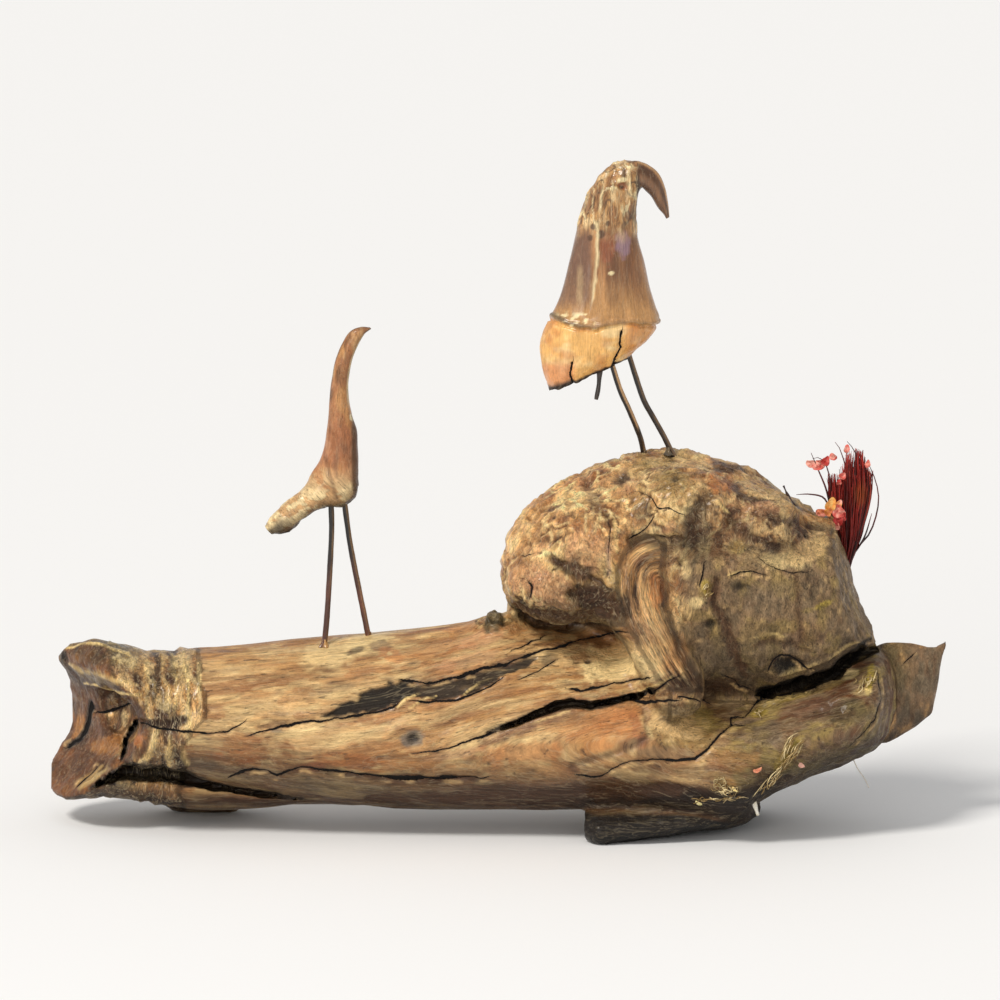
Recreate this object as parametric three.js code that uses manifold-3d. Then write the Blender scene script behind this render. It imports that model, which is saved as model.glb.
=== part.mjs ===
// Two shore birds of carved driftwood on wire legs, standing on a burled driftwood log.
// Millimetres, +Z up. The log lies along X, the burl to the right (+X), and the front is towards -Y.
// The origin is on the surface that the log stands on, under the middle of the whole piece.
import * as THREE from "three";
import { mergeVertices } from "three/addons/utils/BufferGeometryUtils.js";
import Module from "manifold-3d";

const wasm = await Module();
wasm.setup();

// Driving dimensions.
const CELL = 5.7; // size of the grid that the driftwood's surface is drawn on
const WOOD_BOX = { low: [-156, -44, -6], high: [156, 48, 136] };
const BLEND = 7; // how softly the log's limbs grow into each other
const THINNEST_LIMB = 0.5; // the least radius that a limb tapers to
const WOOD_EDGE_SHARE = 0.36; // the shortest edge on the driftwood, as a share of a cell
const FILLED_SHARE = 0.2; // how deep a filled corner lies in the wood, as a share of a cell
const WIRE_RADIUS = 0.95;
const WIRE_SIDES = 8;
const WIRE_STEPS = 9;
const GAP = 0.3; // clearance round a wire or a stem in its hole
const PIN_GAP = 0.45;
const PIN_TAPER = 0.55; // a pin's radius at its far end, as a share of the radius at its first
const LOG_HOLE_DEPTH = 8;
const BODY_HOLE_DEPTH = 5;
const SHORTEST_EDGE = 0.03;
const SAME_POINT = 1e-4; // corners that are nearer than this are one corner
const FLOOR_BLOCK = { long: 400, wide: 200, deep: 40 }; // cuts the wood off flat where it stands
const CENTRE = { x: -0.2, y: 1.3 }; // middle of the piece, before it is moved to the origin

// Limbs of the driftwood. A row is one section: [x, lowest z, highest z, nearest y, furthest y].
const TRUNK = [
  [-158, 8.5, 60.5, -20, 29],
  [-147, 8.2, 62.0, -21, 29.5],
  [-138, 9.5, 63.2, -22, 29],
  [-129, 13.0, 62.4, -23, 27.5],
  [-118, 17.4, 59.6, -22.5, 24.5],
  [-101, 15.8, 61.0, -24, 24],
  [-84, 13.0, 62.3, -25.5, 25.5],
  [-67, 10.1, 64.0, -27, 27],
  [-34, 6.4, 67.1, -29, 29],
  [0, 5.6, 71.2, -31, 31],
  [17, 5.4, 70.1, -32, 32],
  [34, 5.8, 66.6, -33, 33],
  [51, 6.3, 59.6, -33, 33],
  [64, 7.4, 45.2, -29, 33],
  [74, 14, 34.4, -22, 30],
];
const FORK = [
  [47, 7.5, 43.5, -26, 18],
  [64, 5.8, 44.4, -33, 21],
  [81, 4.9, 44.6, -36, 24],
  [89, 11.0, 45.3, -35, 25],
  [101, 16.4, 49.0, -32, 26],
  [118, 22.1, 56.9, -26, 26],
  [127, 26.5, 60.3, -21, 23],
  [131, 31.1, 58.0, -12, 16],
];
// The thin upright fin at the right end, rib by rib:
// [x, z of the top edge, x, z of the other edge, half thickness].
const FIN = {
  y: 12,
  ribs: [
    [110, 46, 111, 28, 5],
    [114.7, 52.6, 116.4, 21.6, 7.5],
    [119.8, 56, 121.5, 23.3, 8],
    [124.2, 59.5, 126.5, 25, 8],
    [128.9, 60.2, 132.9, 27.1, 7],
    [133.3, 60.5, 140, 31.2, 5.8],
    [137.7, 60.5, 146.1, 36.7, 4.8],
    [141, 59.5, 147.1, 40.5, 3.8],
    [144.4, 58.8, 147.4, 49.1, 2.8],
    [147.8, 59.5, 149.1, 54.6, 1.8],
    [150.6, 61.3, 150.9, 60.3, 0.8],
  ],
};
const FIN_SIDES = 12;
const CROWN = [
  [1, 84.3, 93.1, -7, 1],
  [2, 78.6, 98.8, -13, 7],
  [5, 76.0, 104.7, -19, 13],
  [10, 74.3, 111.0, -24, 20],
  [18, 72.9, 116.8, -26, 27],
  [30, 69.5, 122.4, -28, 34],
  [44, 60.7, 126.9, -29, 38],
  [57, 46.8, 128.4, -29, 40],
  [71, 41.6, 126.0, -29, 40],
  [84, 41.6, 122.0, -29, 39],
  [98, 43.2, 112.0, -28, 38],
  [106, 45.9, 107.2, -27, 36],
  [113, 50.5, 104.0, -25, 35],
  [117, 55.6, 89.4, -22, 33],
  [121, 58.9, 75.7, -18, 30],
  [126, 62.9, 66.5, -9, 23],
];
const FOOT = [
  [29, 0.5, 8.2, -27, -17],
  [33, -1.2, 9.1, -32, -14],
  [40, -1.0, 9.2, -31, -10],
  [48, -0.2, 9.2, -30, -6],
  [58, 1.0, 10.0, -28, -2],
  [68, 2.0, 10.5, -26, 4],
  [81, 2.8, 10.6, -18, 10],
  [87, 4.3, 8.2, -8, 8],
];
const BELLY = [
  [-138, 13.0, 17.0, 0, 8],
  [-131, 10.0, 20.0, -6, 18],
  [-118, 7.5, 20.0, -8, 20],
  [-105, 5.2, 19.0, -8, 20],
  [-92, 4.7, 18.5, -8, 20],
  [-80, 5.2, 17.5, -8, 20],
  [-67, 7.2, 15.0, -6, 16],
  [-50, 8.0, 14.0, -4, 12],
];
const BACK_ROOT = [
  [-124, 12.0, 24.0, 18, 28],
  [-112, 1.0, 30.0, 15, 31],
  [-100, -1.2, 32.0, 14, 32],
  [-88, 0.5, 30.0, 14, 31],
  [-76, 10.0, 26.0, 16, 28],
];
const HEEL = [
  [52, 6, 14, 18, 26],
  [60, 0.2, 22, 12, 33],
  [72, -1.0, 26, 10, 35],
  [84, 0.2, 24, 10, 32],
  [92, 8, 18, 14, 26],
];
// Lumps standing proud of the limbs: [centre x, y, z, radius x, y, z].
const LUMPS = [
  [21, -20, 88, 18.5, 15, 14.5], // nose of the burl
  [33.5, -20, 103, 19.5, 14.5, 14.5], // brow
  [62, -18, 112, 20, 16, 15], // shoulder under the right bird
  [87, -14, 106.3, 15, 16, 12.4], // right shoulder
  [45, -27, 84, 11, 9, 14], // neck of wood flowing down into the log
  [53, -29, 70, 10, 8, 14],
  [60, -30, 55, 9.5, 8, 12],
  [56, -14, 56, 14, 14, 12],
  [-1, -4, 68, 6, 7, 6], // stub of a twig beside the nose
];

// The left end is broken off at a slant, hollow between an upper and a lower lip. A row of the
// profile is a height and how far the broken face stands out there.
const BREAK = {
  rim: [-118.5, -23],
  normal: [-0.885, -0.465],
  profile: [
    [2, 14.5],
    [10, 14],
    [14, 11.5],
    [20, 6],
    [28, 0.4],
    [36, -0.6],
    [44, 0.8],
    [49, 3.6],
    [53, 6.4],
    [57, 6.8],
    [61, 4],
    [66, -2],
  ],
  blend: 3,
};
const THROAT = { centre: [-130.5, -4, 38.5], radius: [8, 15, 9.5], blend: 2 };

// Splits right through the front of the wood, as outlines in x and z, and how deep they go in y.
const FORK_SPLIT = {
  outline: [
    [87, 43],
    [97, 46.2],
    [108, 51.8],
    [117, 57.6],
    [124, 61.6],
    [131, 62.6],
    [124, 58.4],
    [116, 52.9],
    [106, 46.9],
    [97, 41.6],
    [88, 40],
  ],
  from: -60,
  to: 8,
};
const LOG_SPLIT = {
  outline: [
    [-24, 25.5],
    [-3, 34.6],
    [10, 40.8],
    [22, 44.6],
    [34, 46],
    [42, 47],
    [42, 45],
    [34, 43],
    [22, 41.4],
    [10, 37.6],
    [-3, 32.8],
  ],
  from: -60,
  to: -19,
};

// Outlines of the carved birds, rib by rib from the tail to the tip of the beak:
// [x, z of one edge, x, z of the other edge, half thickness].
const LEFT_BIRD = {
  y: -4,
  ribs: [
    [-78.4, 104, -75.7, 101.2, 1.6],
    [-75.7, 108.4, -71.3, 101.9, 3.2],
    [-71.2, 112.9, -65.5, 106.7, 3.8],
    [-65.5, 117.4, -58.8, 110.5, 4.3],
    [-63.2, 121.8, -52.1, 111.2, 4.8],
    [-60.8, 126.2, -48, 114.9, 5.2],
    [-58.9, 131.1, -47.4, 124.3, 5],
    [-58.1, 137, -47.8, 136.3, 4.5],
    [-57.7, 140.4, -49.5, 142.5, 4],
    [-57.1, 146.6, -50.5, 148.4, 3.6],
    [-56.1, 155.2, -50.6, 155.2, 3.1],
    [-54.8, 162.1, -49.3, 162.1, 2.7],
    [-52.2, 168, -47, 167, 2.4],
    [-49.3, 171.4, -45.2, 170, 1.9],
    [-46.3, 172.5, -44, 171.1, 1.2],
    [-43.6, 172.3, -43.1, 171.8, 0.5],
  ],
};
const RIGHT_BIRD = {
  y: -2,
  ribs: [
    [16.7, 150.1, 43.3, 161.9, 6.5],
    [15, 156.2, 47.6, 165.6, 9],
    [13.6, 163.8, 52.2, 170.4, 10.2],
    [14.5, 170.7, 53.9, 174.9, 10.4],
    [17.7, 176.9, 52.4, 179.3, 9.2],
    [21, 184.4, 50.2, 185.5, 8.3],
    [23.5, 194.8, 48.6, 194.8, 7.6],
    [25.8, 204, 46.7, 203, 7.1],
    [28, 213, 46.2, 211.3, 6.6],
    [30.2, 218.9, 46.3, 215.4, 6.2],
    [34.4, 224.8, 46.7, 217.8, 5.6],
    [39.2, 228.2, 47.3, 219.2, 5],
    [44, 229.2, 48, 219.9, 4.3],
    [49, 228.2, 49, 218.9, 3.6],
    [53.1, 224.7, 51.1, 216.8, 2.9],
    [55.4, 219.6, 53.4, 213, 2.2],
    [56.4, 214.4, 55.4, 210.6, 1.5],
    [56.9, 209.8, 56.1, 209.3, 0.5],
  ],
};
const BIRD_SIDES = 12;

// Wire legs: points from the hole in the log to the hole in the body, [x, y, z].
const LEGS = {
  left_bird_leg_left: [
    [-58.9, -6, 64.2],
    [-58, -6, 73.4],
    [-56.9, -5, 91.7],
    [-56.4, -5, 103],
    [-56.6, -4.5, 111.8],
  ],
  left_bird_leg_right: [
    [-44.2, -1.5, 65.9],
    [-45.8, -2, 74.4],
    [-48.2, -3, 86.8],
    [-50.4, -3.5, 99.1],
    [-52.2, -4, 112.5],
  ],
  right_bird_leg_left: [
    [48.4, 4, 128.4],
    [47.3, 3, 133.2],
    [43.6, 0.5, 143],
    [40.7, -1, 149.8],
    [37.9, -2.5, 157.5],
  ],
  right_bird_leg_right: [
    [57.6, 2, 128.9],
    [55.2, 2, 133.8],
    [51.8, 2, 140],
    [48.4, 1, 146.6],
    [43.2, 0, 163],
  ],
};

// The dyed grass stands in a hole behind the burl's right shoulder. Ribs as for the birds.
const GRASS = {
  y: 14,
  ribs: [
    [113.5, 80, 117.3, 79.6, 1.6],
    [114.6, 86, 119.2, 86, 2.4],
    [114.2, 95, 121.8, 95.6, 3.6],
    [112.4, 104.4, 124.6, 104.8, 4.6],
    [110.8, 112, 126, 112.6, 5.4],
    [110.6, 119, 126.4, 119.4, 5.6],
    [113, 125.4, 125, 125.4, 4.4],
    [118, 129.6, 122.6, 129.2, 2],
  ],
};
const GRASS_SIDES = 12;
const GRASS_HOLE_DROP = 1; // how far the hole goes on below the stems

// Dried petals, flattened: [centre x, y, z, half length, half width, half thickness, tilt in degrees].
const PETALS = {
  petal_high: [106.6, 11, 122.2, 4.4, 2, 1, 6],
  petal_orange: [112.4, 4.6, 109.2, 4.2, 2.4, 1.2, 40],
  petal_coral: [114.6, 5.2, 103.4, 4, 3, 1.3, -65],
};
const PETAL_SEGMENTS = 10;
const PETAL_RINGS = 6;

// Small tapered pins: the ends and the radius at the first.
const PINS = {
  right_bird_spur: { low: [33.8, 0, 157.5], high: [32.5, -1, 146.8], radius: 1.1 },
  loose_stem: { low: [100.4, 6, 106], high: [95.6, 6, 115.8], radius: 0.9 },
  pale_chip: { low: [85.6, -24.4, 15], high: [86.9, -23.2, 8.8], radius: 1.1 },
};

const MATERIALS = {
  driftwood: { color: 0x8a6a46, roughness: 0.62 },
  left_bird: { color: 0x9c6a3c, roughness: 0.38 },
  right_bird: { color: 0xa87a3e, roughness: 0.38 },
  wire: { color: 0x3a2a20, roughness: 0.35, metalness: 0.6 },
  grass: { color: 0x6e1f1a, roughness: 0.6 },
  petal: { color: 0xd9705a, roughness: 0.7 },
  chip: { color: 0xe6ded0, roughness: 0.6 },
};

const sculpture = new THREE.Group();

function addPiece(name, solid, material) {
  const mesh = new THREE.Mesh(
    geometryOf(solid),
    new THREE.MeshStandardMaterial(MATERIALS[material]),
  );
  mesh.name = name;
  sculpture.add(mesh);
}

// A three.js geometry as a manifold-3d solid, and back.
function solidOf(geometry) {
  const bare = new THREE.BufferGeometry();
  bare.setAttribute("position", geometry.getAttribute("position"));
  if (geometry.index) bare.setIndex(geometry.index);
  const merged = mergeVertices(bare, SAME_POINT);
  return new wasm.Manifold(
    new wasm.Mesh({
      numProp: 3,
      vertProperties: merged.attributes.position.array,
      triVerts: new Uint32Array(merged.index.array),
    }),
  );
}

function geometryOf(solid) {
  const { vertProperties, triVerts } = solid.getMesh();
  const geometry = new THREE.BufferGeometry();
  geometry.setAttribute("position", new THREE.BufferAttribute(vertProperties, 3));
  geometry.setIndex(new THREE.BufferAttribute(triVerts, 1));
  const tidied = withoutShortEdges(geometry, SHORTEST_EDGE);
  tidied.computeVertexNormals();
  return tidied;
}

// The ends of each edge that is too short are drawn together, where that keeps the surface closed.
function withoutShortEdges(geometry, shortest) {
  const position = geometry.getAttribute("position");
  const points = [];
  for (let i = 0; i < position.count; i++)
    points.push(new THREE.Vector3().fromBufferAttribute(position, i));
  const faces = [];
  for (let i = 0; i < geometry.index.count; i += 3)
    faces.push([0, 1, 2].map((corner) => geometry.index.getX(i + corner)));
  const around = points.map(() => new Set());
  faces.forEach((face) => face.forEach((v) => around[v].add(face)));
  const neighbours = (v) => new Set([...around[v]].flat().filter((w) => w !== v));
  const tooClose = (a) => [...neighbours(a)].find((b) =>
    points[a].distanceTo(points[b]) < shortest &&
    [...neighbours(a)].filter((v) => neighbours(b).has(v)).length === 2);
  let drawnTogether;
  do {
    drawnTogether = 0;
    for (const a of points.keys())
      for (let b = tooClose(a); b !== undefined; b = tooClose(a)) {
        for (const face of [...around[b]]) {
          face.forEach((v) => around[v].delete(face));
          if (face.includes(a)) continue;
          face[face.indexOf(b)] = a;
          face.forEach((v) => around[v].add(face));
        }
        drawnTogether++;
      }
  } while (drawnTogether > 0);
  const tidied = new THREE.BufferGeometry().setFromPoints(points);
  tidied.setIndex(faces.filter((face) => around[face[0]].has(face)).flat());
  return tidied;
}

// A smooth curve through table rows, one value for each column, at x. It stays level past both ends.
function smoothRows(rows) {
  const slope = (i, c) => {
    const a = rows[Math.max(i - 1, 0)];
    const b = rows[Math.min(i + 1, rows.length - 1)];
    return (b[c] - a[c]) / (b[0] - a[0]);
  };
  return (wanted) => {
    const x = Math.min(Math.max(wanted, rows[0][0]), rows[rows.length - 1][0]);
    let i = 0;
    while (i < rows.length - 2 && rows[i + 1][0] < x) i++;
    const [a, b] = [rows[i], rows[i + 1]];
    const h = b[0] - a[0];
    const t = (x - a[0]) / h;
    const [t2, t3] = [t * t, t * t * t];
    return a.map(
      (_, c) =>
        (2 * t3 - 3 * t2 + 1) * a[c] +
        (t3 - 2 * t2 + t) * h * slope(i, c) +
        (3 * t2 - 2 * t3) * b[c] +
        (t3 - t2) * h * slope(i + 1, c),
    );
  };
}

// How far a point is outside an ellipse or ellipsoid centred on the origin, measured along its own ray.
function outsideEllipse(offsets, radii) {
  const length = Math.hypot(...offsets);
  const share = Math.hypot(...offsets.map((o, i) => o / radii[i]));
  if (share < 1e-6) return -Math.min(...radii);
  return length * (1 - 1 / share);
}

// A limb of wood along X, as a distance field.
function limb(rows) {
  const section = smoothRows(rows);
  const [first, last] = [rows[0][0], rows[rows.length - 1][0]];
  return (x, y, z) => {
    const inside = Math.min(Math.max(x, first), last);
    const [, low, high, near, far] = section(inside);
    const radii = [(far - near) / 2, (high - low) / 2].map((r) => Math.max(r, THINNEST_LIMB));
    const across = outsideEllipse([y - (near + far) / 2, z - (low + high) / 2], radii);
    const past = Math.abs(x - inside);
    return past === 0 ? across : Math.hypot(past, Math.max(across, 0));
  };
}

function lump([cx, cy, cz, ...radii]) {
  return (x, y, z) => outsideEllipse([x - cx, y - cy, z - cz], radii);
}

// The union of two fields with a fillet, and one field hollowed by another.
function join(a, b, blend) {
  const h = Math.max(blend - Math.abs(a - b), 0) / blend;
  return Math.min(a, b) - (h * h * blend) / 4;
}
const hollow = (a, b, blend) => -join(-a, b, blend);

const trunk = limb(TRUNK);
const limbs = [FORK, CROWN, FOOT, BELLY, BACK_ROOT, HEEL].map(limb);
const lumps = LUMPS.map(lump);

// Negative inside the driftwood and positive outside it.
function driftwoodField(x, y, z) {
  let d = trunk(x, y, z);
  for (const field of limbs) d = join(d, field(x, y, z), BLEND);
  for (const field of lumps) d = join(d, field(x, y, z), BLEND);
  return brokenEnd(d, x, y, z);
}

const standsOut = smoothRows(BREAK.profile);

function brokenEnd(d, x, y, z) {
  const [ux, uy] = BREAK.normal;
  const along = (x - BREAK.rim[0]) * ux + (y - BREAK.rim[1]) * uy;
  const [, reach] = standsOut(z);
  const [cx, cy, cz] = THROAT.centre;
  const inThroat = outsideEllipse(
    [(x - cx) * ux + (y - cy) * uy, (y - cy) * ux - (x - cx) * uy, z - cz],
    THROAT.radius,
  );
  return hollow(hollow(d, reach - along, BREAK.blend), inThroat, THROAT.blend);
}

// Surface nets: one vertex in each grid cell that the surface crosses, at the mean of the crossings.
function surfaceOf(field, { low, high }, cell) {
  const size = low.map((v, i) => Math.ceil((high[i] - v) / cell) + 1);
  const index = (i, j, k) => (i * size[1] + j) * size[2] + k;
  const at = (i, j, k) => [low[0] + i * cell, low[1] + j * cell, low[2] + k * cell];
  const values = new Float64Array(size[0] * size[1] * size[2]);
  const everyPoint = (visit) => {
    for (let i = 0; i < size[0]; i++)
      for (let j = 0; j < size[1]; j++)
        for (let k = 0; k < size[2]; k++) visit(i, j, k);
  };
  everyPoint((i, j, k) => {
    values[index(i, j, k)] = field(...at(i, j, k));
  });
  const isCell = (i, j, k) => i < size[0] - 1 && j < size[1] - 1 && k < size[2] - 1;
  const corners = (i, j, k) =>
    [0, 1, 2, 3, 4, 5, 6, 7].map((c) => index(i + (c & 1), j + ((c >> 1) & 1), k + (c >> 2)));
  const fillCreases = () => {
    let filled = 0;
    everyPoint((i, j, k) => {
      if (isCell(i, j, k)) filled += fillCrease(values, corners(i, j, k), cell);
    });
    return filled;
  };
  while (fillCreases() > 0);

  const steps = [[1, 0, 0], [0, 1, 0], [0, 0, 1]];
  const vertexOf = new Int32Array(values.length).fill(-1);
  const positions = [];
  everyPoint((i, j, k) => {
    if (!isCell(i, j, k)) return;
    const mean = new THREE.Vector3();
    let crossings = 0;
    steps.forEach((step, axis) => {
      const [p, q] = steps.filter((_, other) => other !== axis);
      for (const [a, b] of [[0, 0], [0, 1], [1, 0], [1, 1]]) {
        const start = [i, j, k].map((v, n) => v + a * p[n] + b * q[n]);
        const end = start.map((v, n) => v + step[n]);
        const [va, vb] = [values[index(...start)], values[index(...end)]];
        if (va < 0 === vb < 0) continue;
        mean.add(new THREE.Vector3(...at(...start)).addScaledVector(
          new THREE.Vector3(...step), (cell * va) / (va - vb)));
        crossings++;
      }
    });
    if (crossings === 0) return;
    mean.divideScalar(crossings);
    vertexOf[index(i, j, k)] = positions.length / 3;
    positions.push(mean.x, mean.y, mean.z);
  });

  // Each grid edge that crosses the surface gives two triangles, between the four cells round it.
  const faces = [];
  everyPoint((i, j, k) => {
    steps.forEach((step, axis) => {
      const end = [i, j, k].map((v, n) => v + step[n]);
      if (end.some((v, n) => v >= size[n])) return;
      const inside = values[index(i, j, k)] < 0;
      if (inside === values[index(...end)] < 0) return;
      const [p, q] = [steps[(axis + 1) % 3], steps[(axis + 2) % 3]];
      const ring = [[0, 0], [1, 0], [1, 1], [0, 1]].map(([a, b]) =>
        vertexOf[index(...[i, j, k].map((v, n) => v - a * p[n] - b * q[n]))]);
      if (!inside) ring.reverse();
      faces.push(ring[0], ring[1], ring[2], ring[0], ring[2], ring[3]);
    });
  });

  const geometry = new THREE.BufferGeometry();
  geometry.setAttribute("position", new THREE.Float32BufferAttribute(positions, 3));
  geometry.setIndex(faces);
  return withoutShortEdges(geometry, WOOD_EDGE_SHARE * cell);
}

// Where the wood would touch itself only along an edge or at a corner of the grid, the outside corner
// nearest to the wood is filled. The eight corners of a cell are counted in binary, x first.
const SQUARES = [
  [0, 1, 3, 2], [4, 5, 7, 6], [0, 1, 5, 4], [2, 3, 7, 6], [0, 2, 6, 4], [1, 3, 7, 5],
];
function fillCrease(values, corners, step) {
  const wood = corners.map((v) => values[v] < 0);
  const count = wood.filter(Boolean).length;
  if (count < 2 || count > 6) return 0;
  const opposite = [0, 1, 2, 3].some((c) =>
    (count === 2 && wood[c] && wood[7 - c]) || (count === 6 && !wood[c] && !wood[7 - c]));
  const crossed = SQUARES.some(([a, b, c, d]) =>
    wood[a] === wood[c] && wood[b] === wood[d] && wood[a] !== wood[b]);
  if (!opposite && !crossed) return 0;
  const outside = corners.filter((_, c) => !wood[c]);
  const nearest = outside.reduce((a, b) => (values[a] < values[b] ? a : b));
  values[nearest] = -FILLED_SHARE * step;
  return 1;
}

// A closed skin over ribs, each an ellipse from one edge point to the other.
function ribbed({ y, ribs }, sides) {
  const positions = [];
  const faces = [];
  for (const [ax, az, bx, bz, thick] of ribs)
    for (let s = 0; s < sides; s++) {
      const turn = (2 * Math.PI * s) / sides;
      const across = (1 - Math.cos(turn)) / 2;
      positions.push(
        ax + (bx - ax) * across,
        y - thick * Math.sin(turn),
        az + (bz - az) * across,
      );
    }
  const ring = (r, s) => r * sides + (s % sides);
  for (let r = 0; r < ribs.length - 1; r++)
    for (let s = 0; s < sides; s++) {
      faces.push(ring(r, s), ring(r, s + 1), ring(r + 1, s + 1));
      faces.push(ring(r, s), ring(r + 1, s + 1), ring(r + 1, s));
    }
  for (let s = 1; s < sides - 1; s++) {
    const top = ribs.length - 1;
    faces.push(ring(0, 0), ring(0, s + 1), ring(0, s));
    faces.push(ring(top, 0), ring(top, s), ring(top, s + 1));
  }
  const geometry = new THREE.BufferGeometry();
  geometry.setAttribute("position", new THREE.Float32BufferAttribute(positions, 3));
  geometry.setIndex(faces);
  return solidOf(geometry);
}

function circle(radius, sides) {
  const points = [];
  for (let s = 0; s < sides; s++) {
    const turn = (2 * Math.PI * s) / sides;
    points.push(new THREE.Vector2(radius * Math.cos(turn), radius * Math.sin(turn)));
  }
  return new THREE.Shape(points);
}

const vectors = (points) => points.map((p) => new THREE.Vector3(...p));

function wire(points, radius) {
  return solidOf(new THREE.ExtrudeGeometry(circle(radius, WIRE_SIDES), {
    extrudePath: new THREE.CatmullRomCurve3(vectors(points)),
    steps: WIRE_STEPS,
    bevelEnabled: false,
  }));
}

function pin({ low, high, radius }) {
  const [a, b] = vectors([low, high]);
  const geometry = new THREE.CylinderGeometry(
    radius, radius * PIN_TAPER, a.distanceTo(b), WIRE_SIDES);
  geometry.applyQuaternion(new THREE.Quaternion().setFromUnitVectors(
    new THREE.Vector3(0, 1, 0), b.clone().sub(a).normalize()));
  geometry.translate(...a.add(b).divideScalar(2).toArray());
  return solidOf(geometry);
}

// The leg's end run on into the wood it stands in.
function extended(points, depth) {
  const [a, b] = vectors(points.slice(0, 2));
  const beyond = a.clone().addScaledVector(a.clone().sub(b).normalize(), depth);
  return [beyond.toArray(), ...points];
}

function split({ outline, from, to }) {
  const shape = new THREE.Shape(outline.map(([x, z]) => new THREE.Vector2(x, z)));
  const geometry = new THREE.ExtrudeGeometry(shape, { depth: to - from, bevelEnabled: false });
  geometry.rotateX(Math.PI / 2);
  geometry.translate(0, to, 0);
  return solidOf(geometry);
}

function floorBlock({ long, wide, deep }) {
  const geometry = new THREE.BoxGeometry(long, wide, deep);
  geometry.translate(0, 0, -deep / 2);
  return solidOf(geometry);
}

function petal([x, y, z, long, wide, thick, tilt]) {
  const geometry = new THREE.SphereGeometry(1, PETAL_SEGMENTS, PETAL_RINGS);
  geometry.scale(long, thick, wide);
  geometry.rotateY(THREE.MathUtils.degToRad(-tilt));
  geometry.translate(x, y, z);
  return solidOf(geometry);
}

// The wires run through the log's and the bodies' holes, and each hole is wider than its wire by GAP.
const legPaths = Object.fromEntries(Object.entries(LEGS).map(([name, points]) => {
  const intoLog = extended(points, LOG_HOLE_DEPTH);
  return [name, extended(intoLog.reverse(), BODY_HOLE_DEPTH).reverse()];
}));
const legHoles = Object.values(legPaths).map((points) => {
  const deeper = extended(points, GAP);
  return wire(extended(deeper.reverse(), GAP).reverse(), WIRE_RADIUS + GAP);
});
const grassHole = {
  ...GRASS,
  ribs: GRASS.ribs.map(([ax, az, bx, bz, t], i) => {
    const drop = i === 0 ? GRASS_HOLE_DROP : 0;
    return [ax - 2 * GAP, az - drop, bx + 2 * GAP, bz - drop, t + 2 * GAP];
  }),
};

const drill = (solid, holes) => holes.reduce((left, hole) => left.subtract(hole), solid);

const petalBeds = Object.values(PETALS).map(([x, y, z, ...sizes]) =>
  petal([x, y, z, ...sizes.slice(0, 3).map((size) => size + 2 * GAP), sizes[3]]));
const pinHoles = Object.values(PINS).map(({ low, high, radius }) =>
  pin({ low, high, radius: radius + PIN_GAP }));
let driftwood = solidOf(surfaceOf(driftwoodField, WOOD_BOX, CELL));
driftwood = driftwood.add(ribbed(FIN, FIN_SIDES)).subtract(floorBlock(FLOOR_BLOCK));
driftwood = drill(driftwood, [split(FORK_SPLIT), split(LOG_SPLIT)]);
driftwood = drill(driftwood, [
  ...legHoles, ...petalBeds, ...pinHoles, ribbed(grassHole, GRASS_SIDES)]);
addPiece("driftwood", driftwood, "driftwood");

addPiece("left_bird", drill(ribbed(LEFT_BIRD, BIRD_SIDES), legHoles), "left_bird");
addPiece("right_bird", drill(ribbed(RIGHT_BIRD, BIRD_SIDES), [...legHoles, ...pinHoles]), "right_bird");
for (const [name, points] of Object.entries(legPaths))
  addPiece(name, wire(points, WIRE_RADIUS), "wire");
addPiece("right_bird_spur", pin(PINS.right_bird_spur), "wire");
addPiece("red_grass", ribbed(GRASS, GRASS_SIDES), "grass");
addPiece("loose_stem", pin(PINS.loose_stem), "grass");
for (const [name, size] of Object.entries(PETALS)) addPiece(name, petal(size), "petal");
addPiece("pale_chip", pin(PINS.pale_chip), "chip");

sculpture.position.set(-CENTRE.x, -CENTRE.y, 0);

export default sculpture;
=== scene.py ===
"""The looks of two carved shore birds on wire legs, standing on a burled driftwood log.

Tables are in millimetres from an origin of their own, which SHIFT moves to the frame's, and meshes
are in metres in the model's frame. Places on the front are given as s, along X, and t, up the plane
that faces the viewer, who looks down on it by VIEW_TILT.
"""
import math

import bpy
import numpy as np
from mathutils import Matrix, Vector


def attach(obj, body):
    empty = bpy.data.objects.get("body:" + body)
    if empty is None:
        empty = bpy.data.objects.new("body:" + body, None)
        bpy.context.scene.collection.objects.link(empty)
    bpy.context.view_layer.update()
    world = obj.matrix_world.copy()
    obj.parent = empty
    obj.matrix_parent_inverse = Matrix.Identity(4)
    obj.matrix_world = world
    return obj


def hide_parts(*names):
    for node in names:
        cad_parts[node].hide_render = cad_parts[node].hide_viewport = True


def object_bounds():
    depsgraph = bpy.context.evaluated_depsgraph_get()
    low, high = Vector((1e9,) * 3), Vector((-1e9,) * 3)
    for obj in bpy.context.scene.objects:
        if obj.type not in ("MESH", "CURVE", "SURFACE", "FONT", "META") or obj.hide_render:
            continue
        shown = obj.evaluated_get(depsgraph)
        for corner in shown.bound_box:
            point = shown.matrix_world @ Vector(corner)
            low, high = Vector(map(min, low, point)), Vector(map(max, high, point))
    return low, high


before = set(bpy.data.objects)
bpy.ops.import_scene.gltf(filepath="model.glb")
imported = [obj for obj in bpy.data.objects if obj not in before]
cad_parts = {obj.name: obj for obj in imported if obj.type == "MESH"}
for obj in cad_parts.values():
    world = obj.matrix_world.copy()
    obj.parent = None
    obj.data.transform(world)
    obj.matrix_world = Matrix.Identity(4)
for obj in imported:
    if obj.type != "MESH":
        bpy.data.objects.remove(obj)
cad_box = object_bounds()

MM = 0.001
SHIFT = np.array([0.2, -1.3, 0.0])  # from the tables' origin to the frame's
VIEW_TILT = math.radians(12)
TOWARDS_VIEWER = np.array([0.0, -math.cos(VIEW_TILT), math.sin(VIEW_TILT)])

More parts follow.
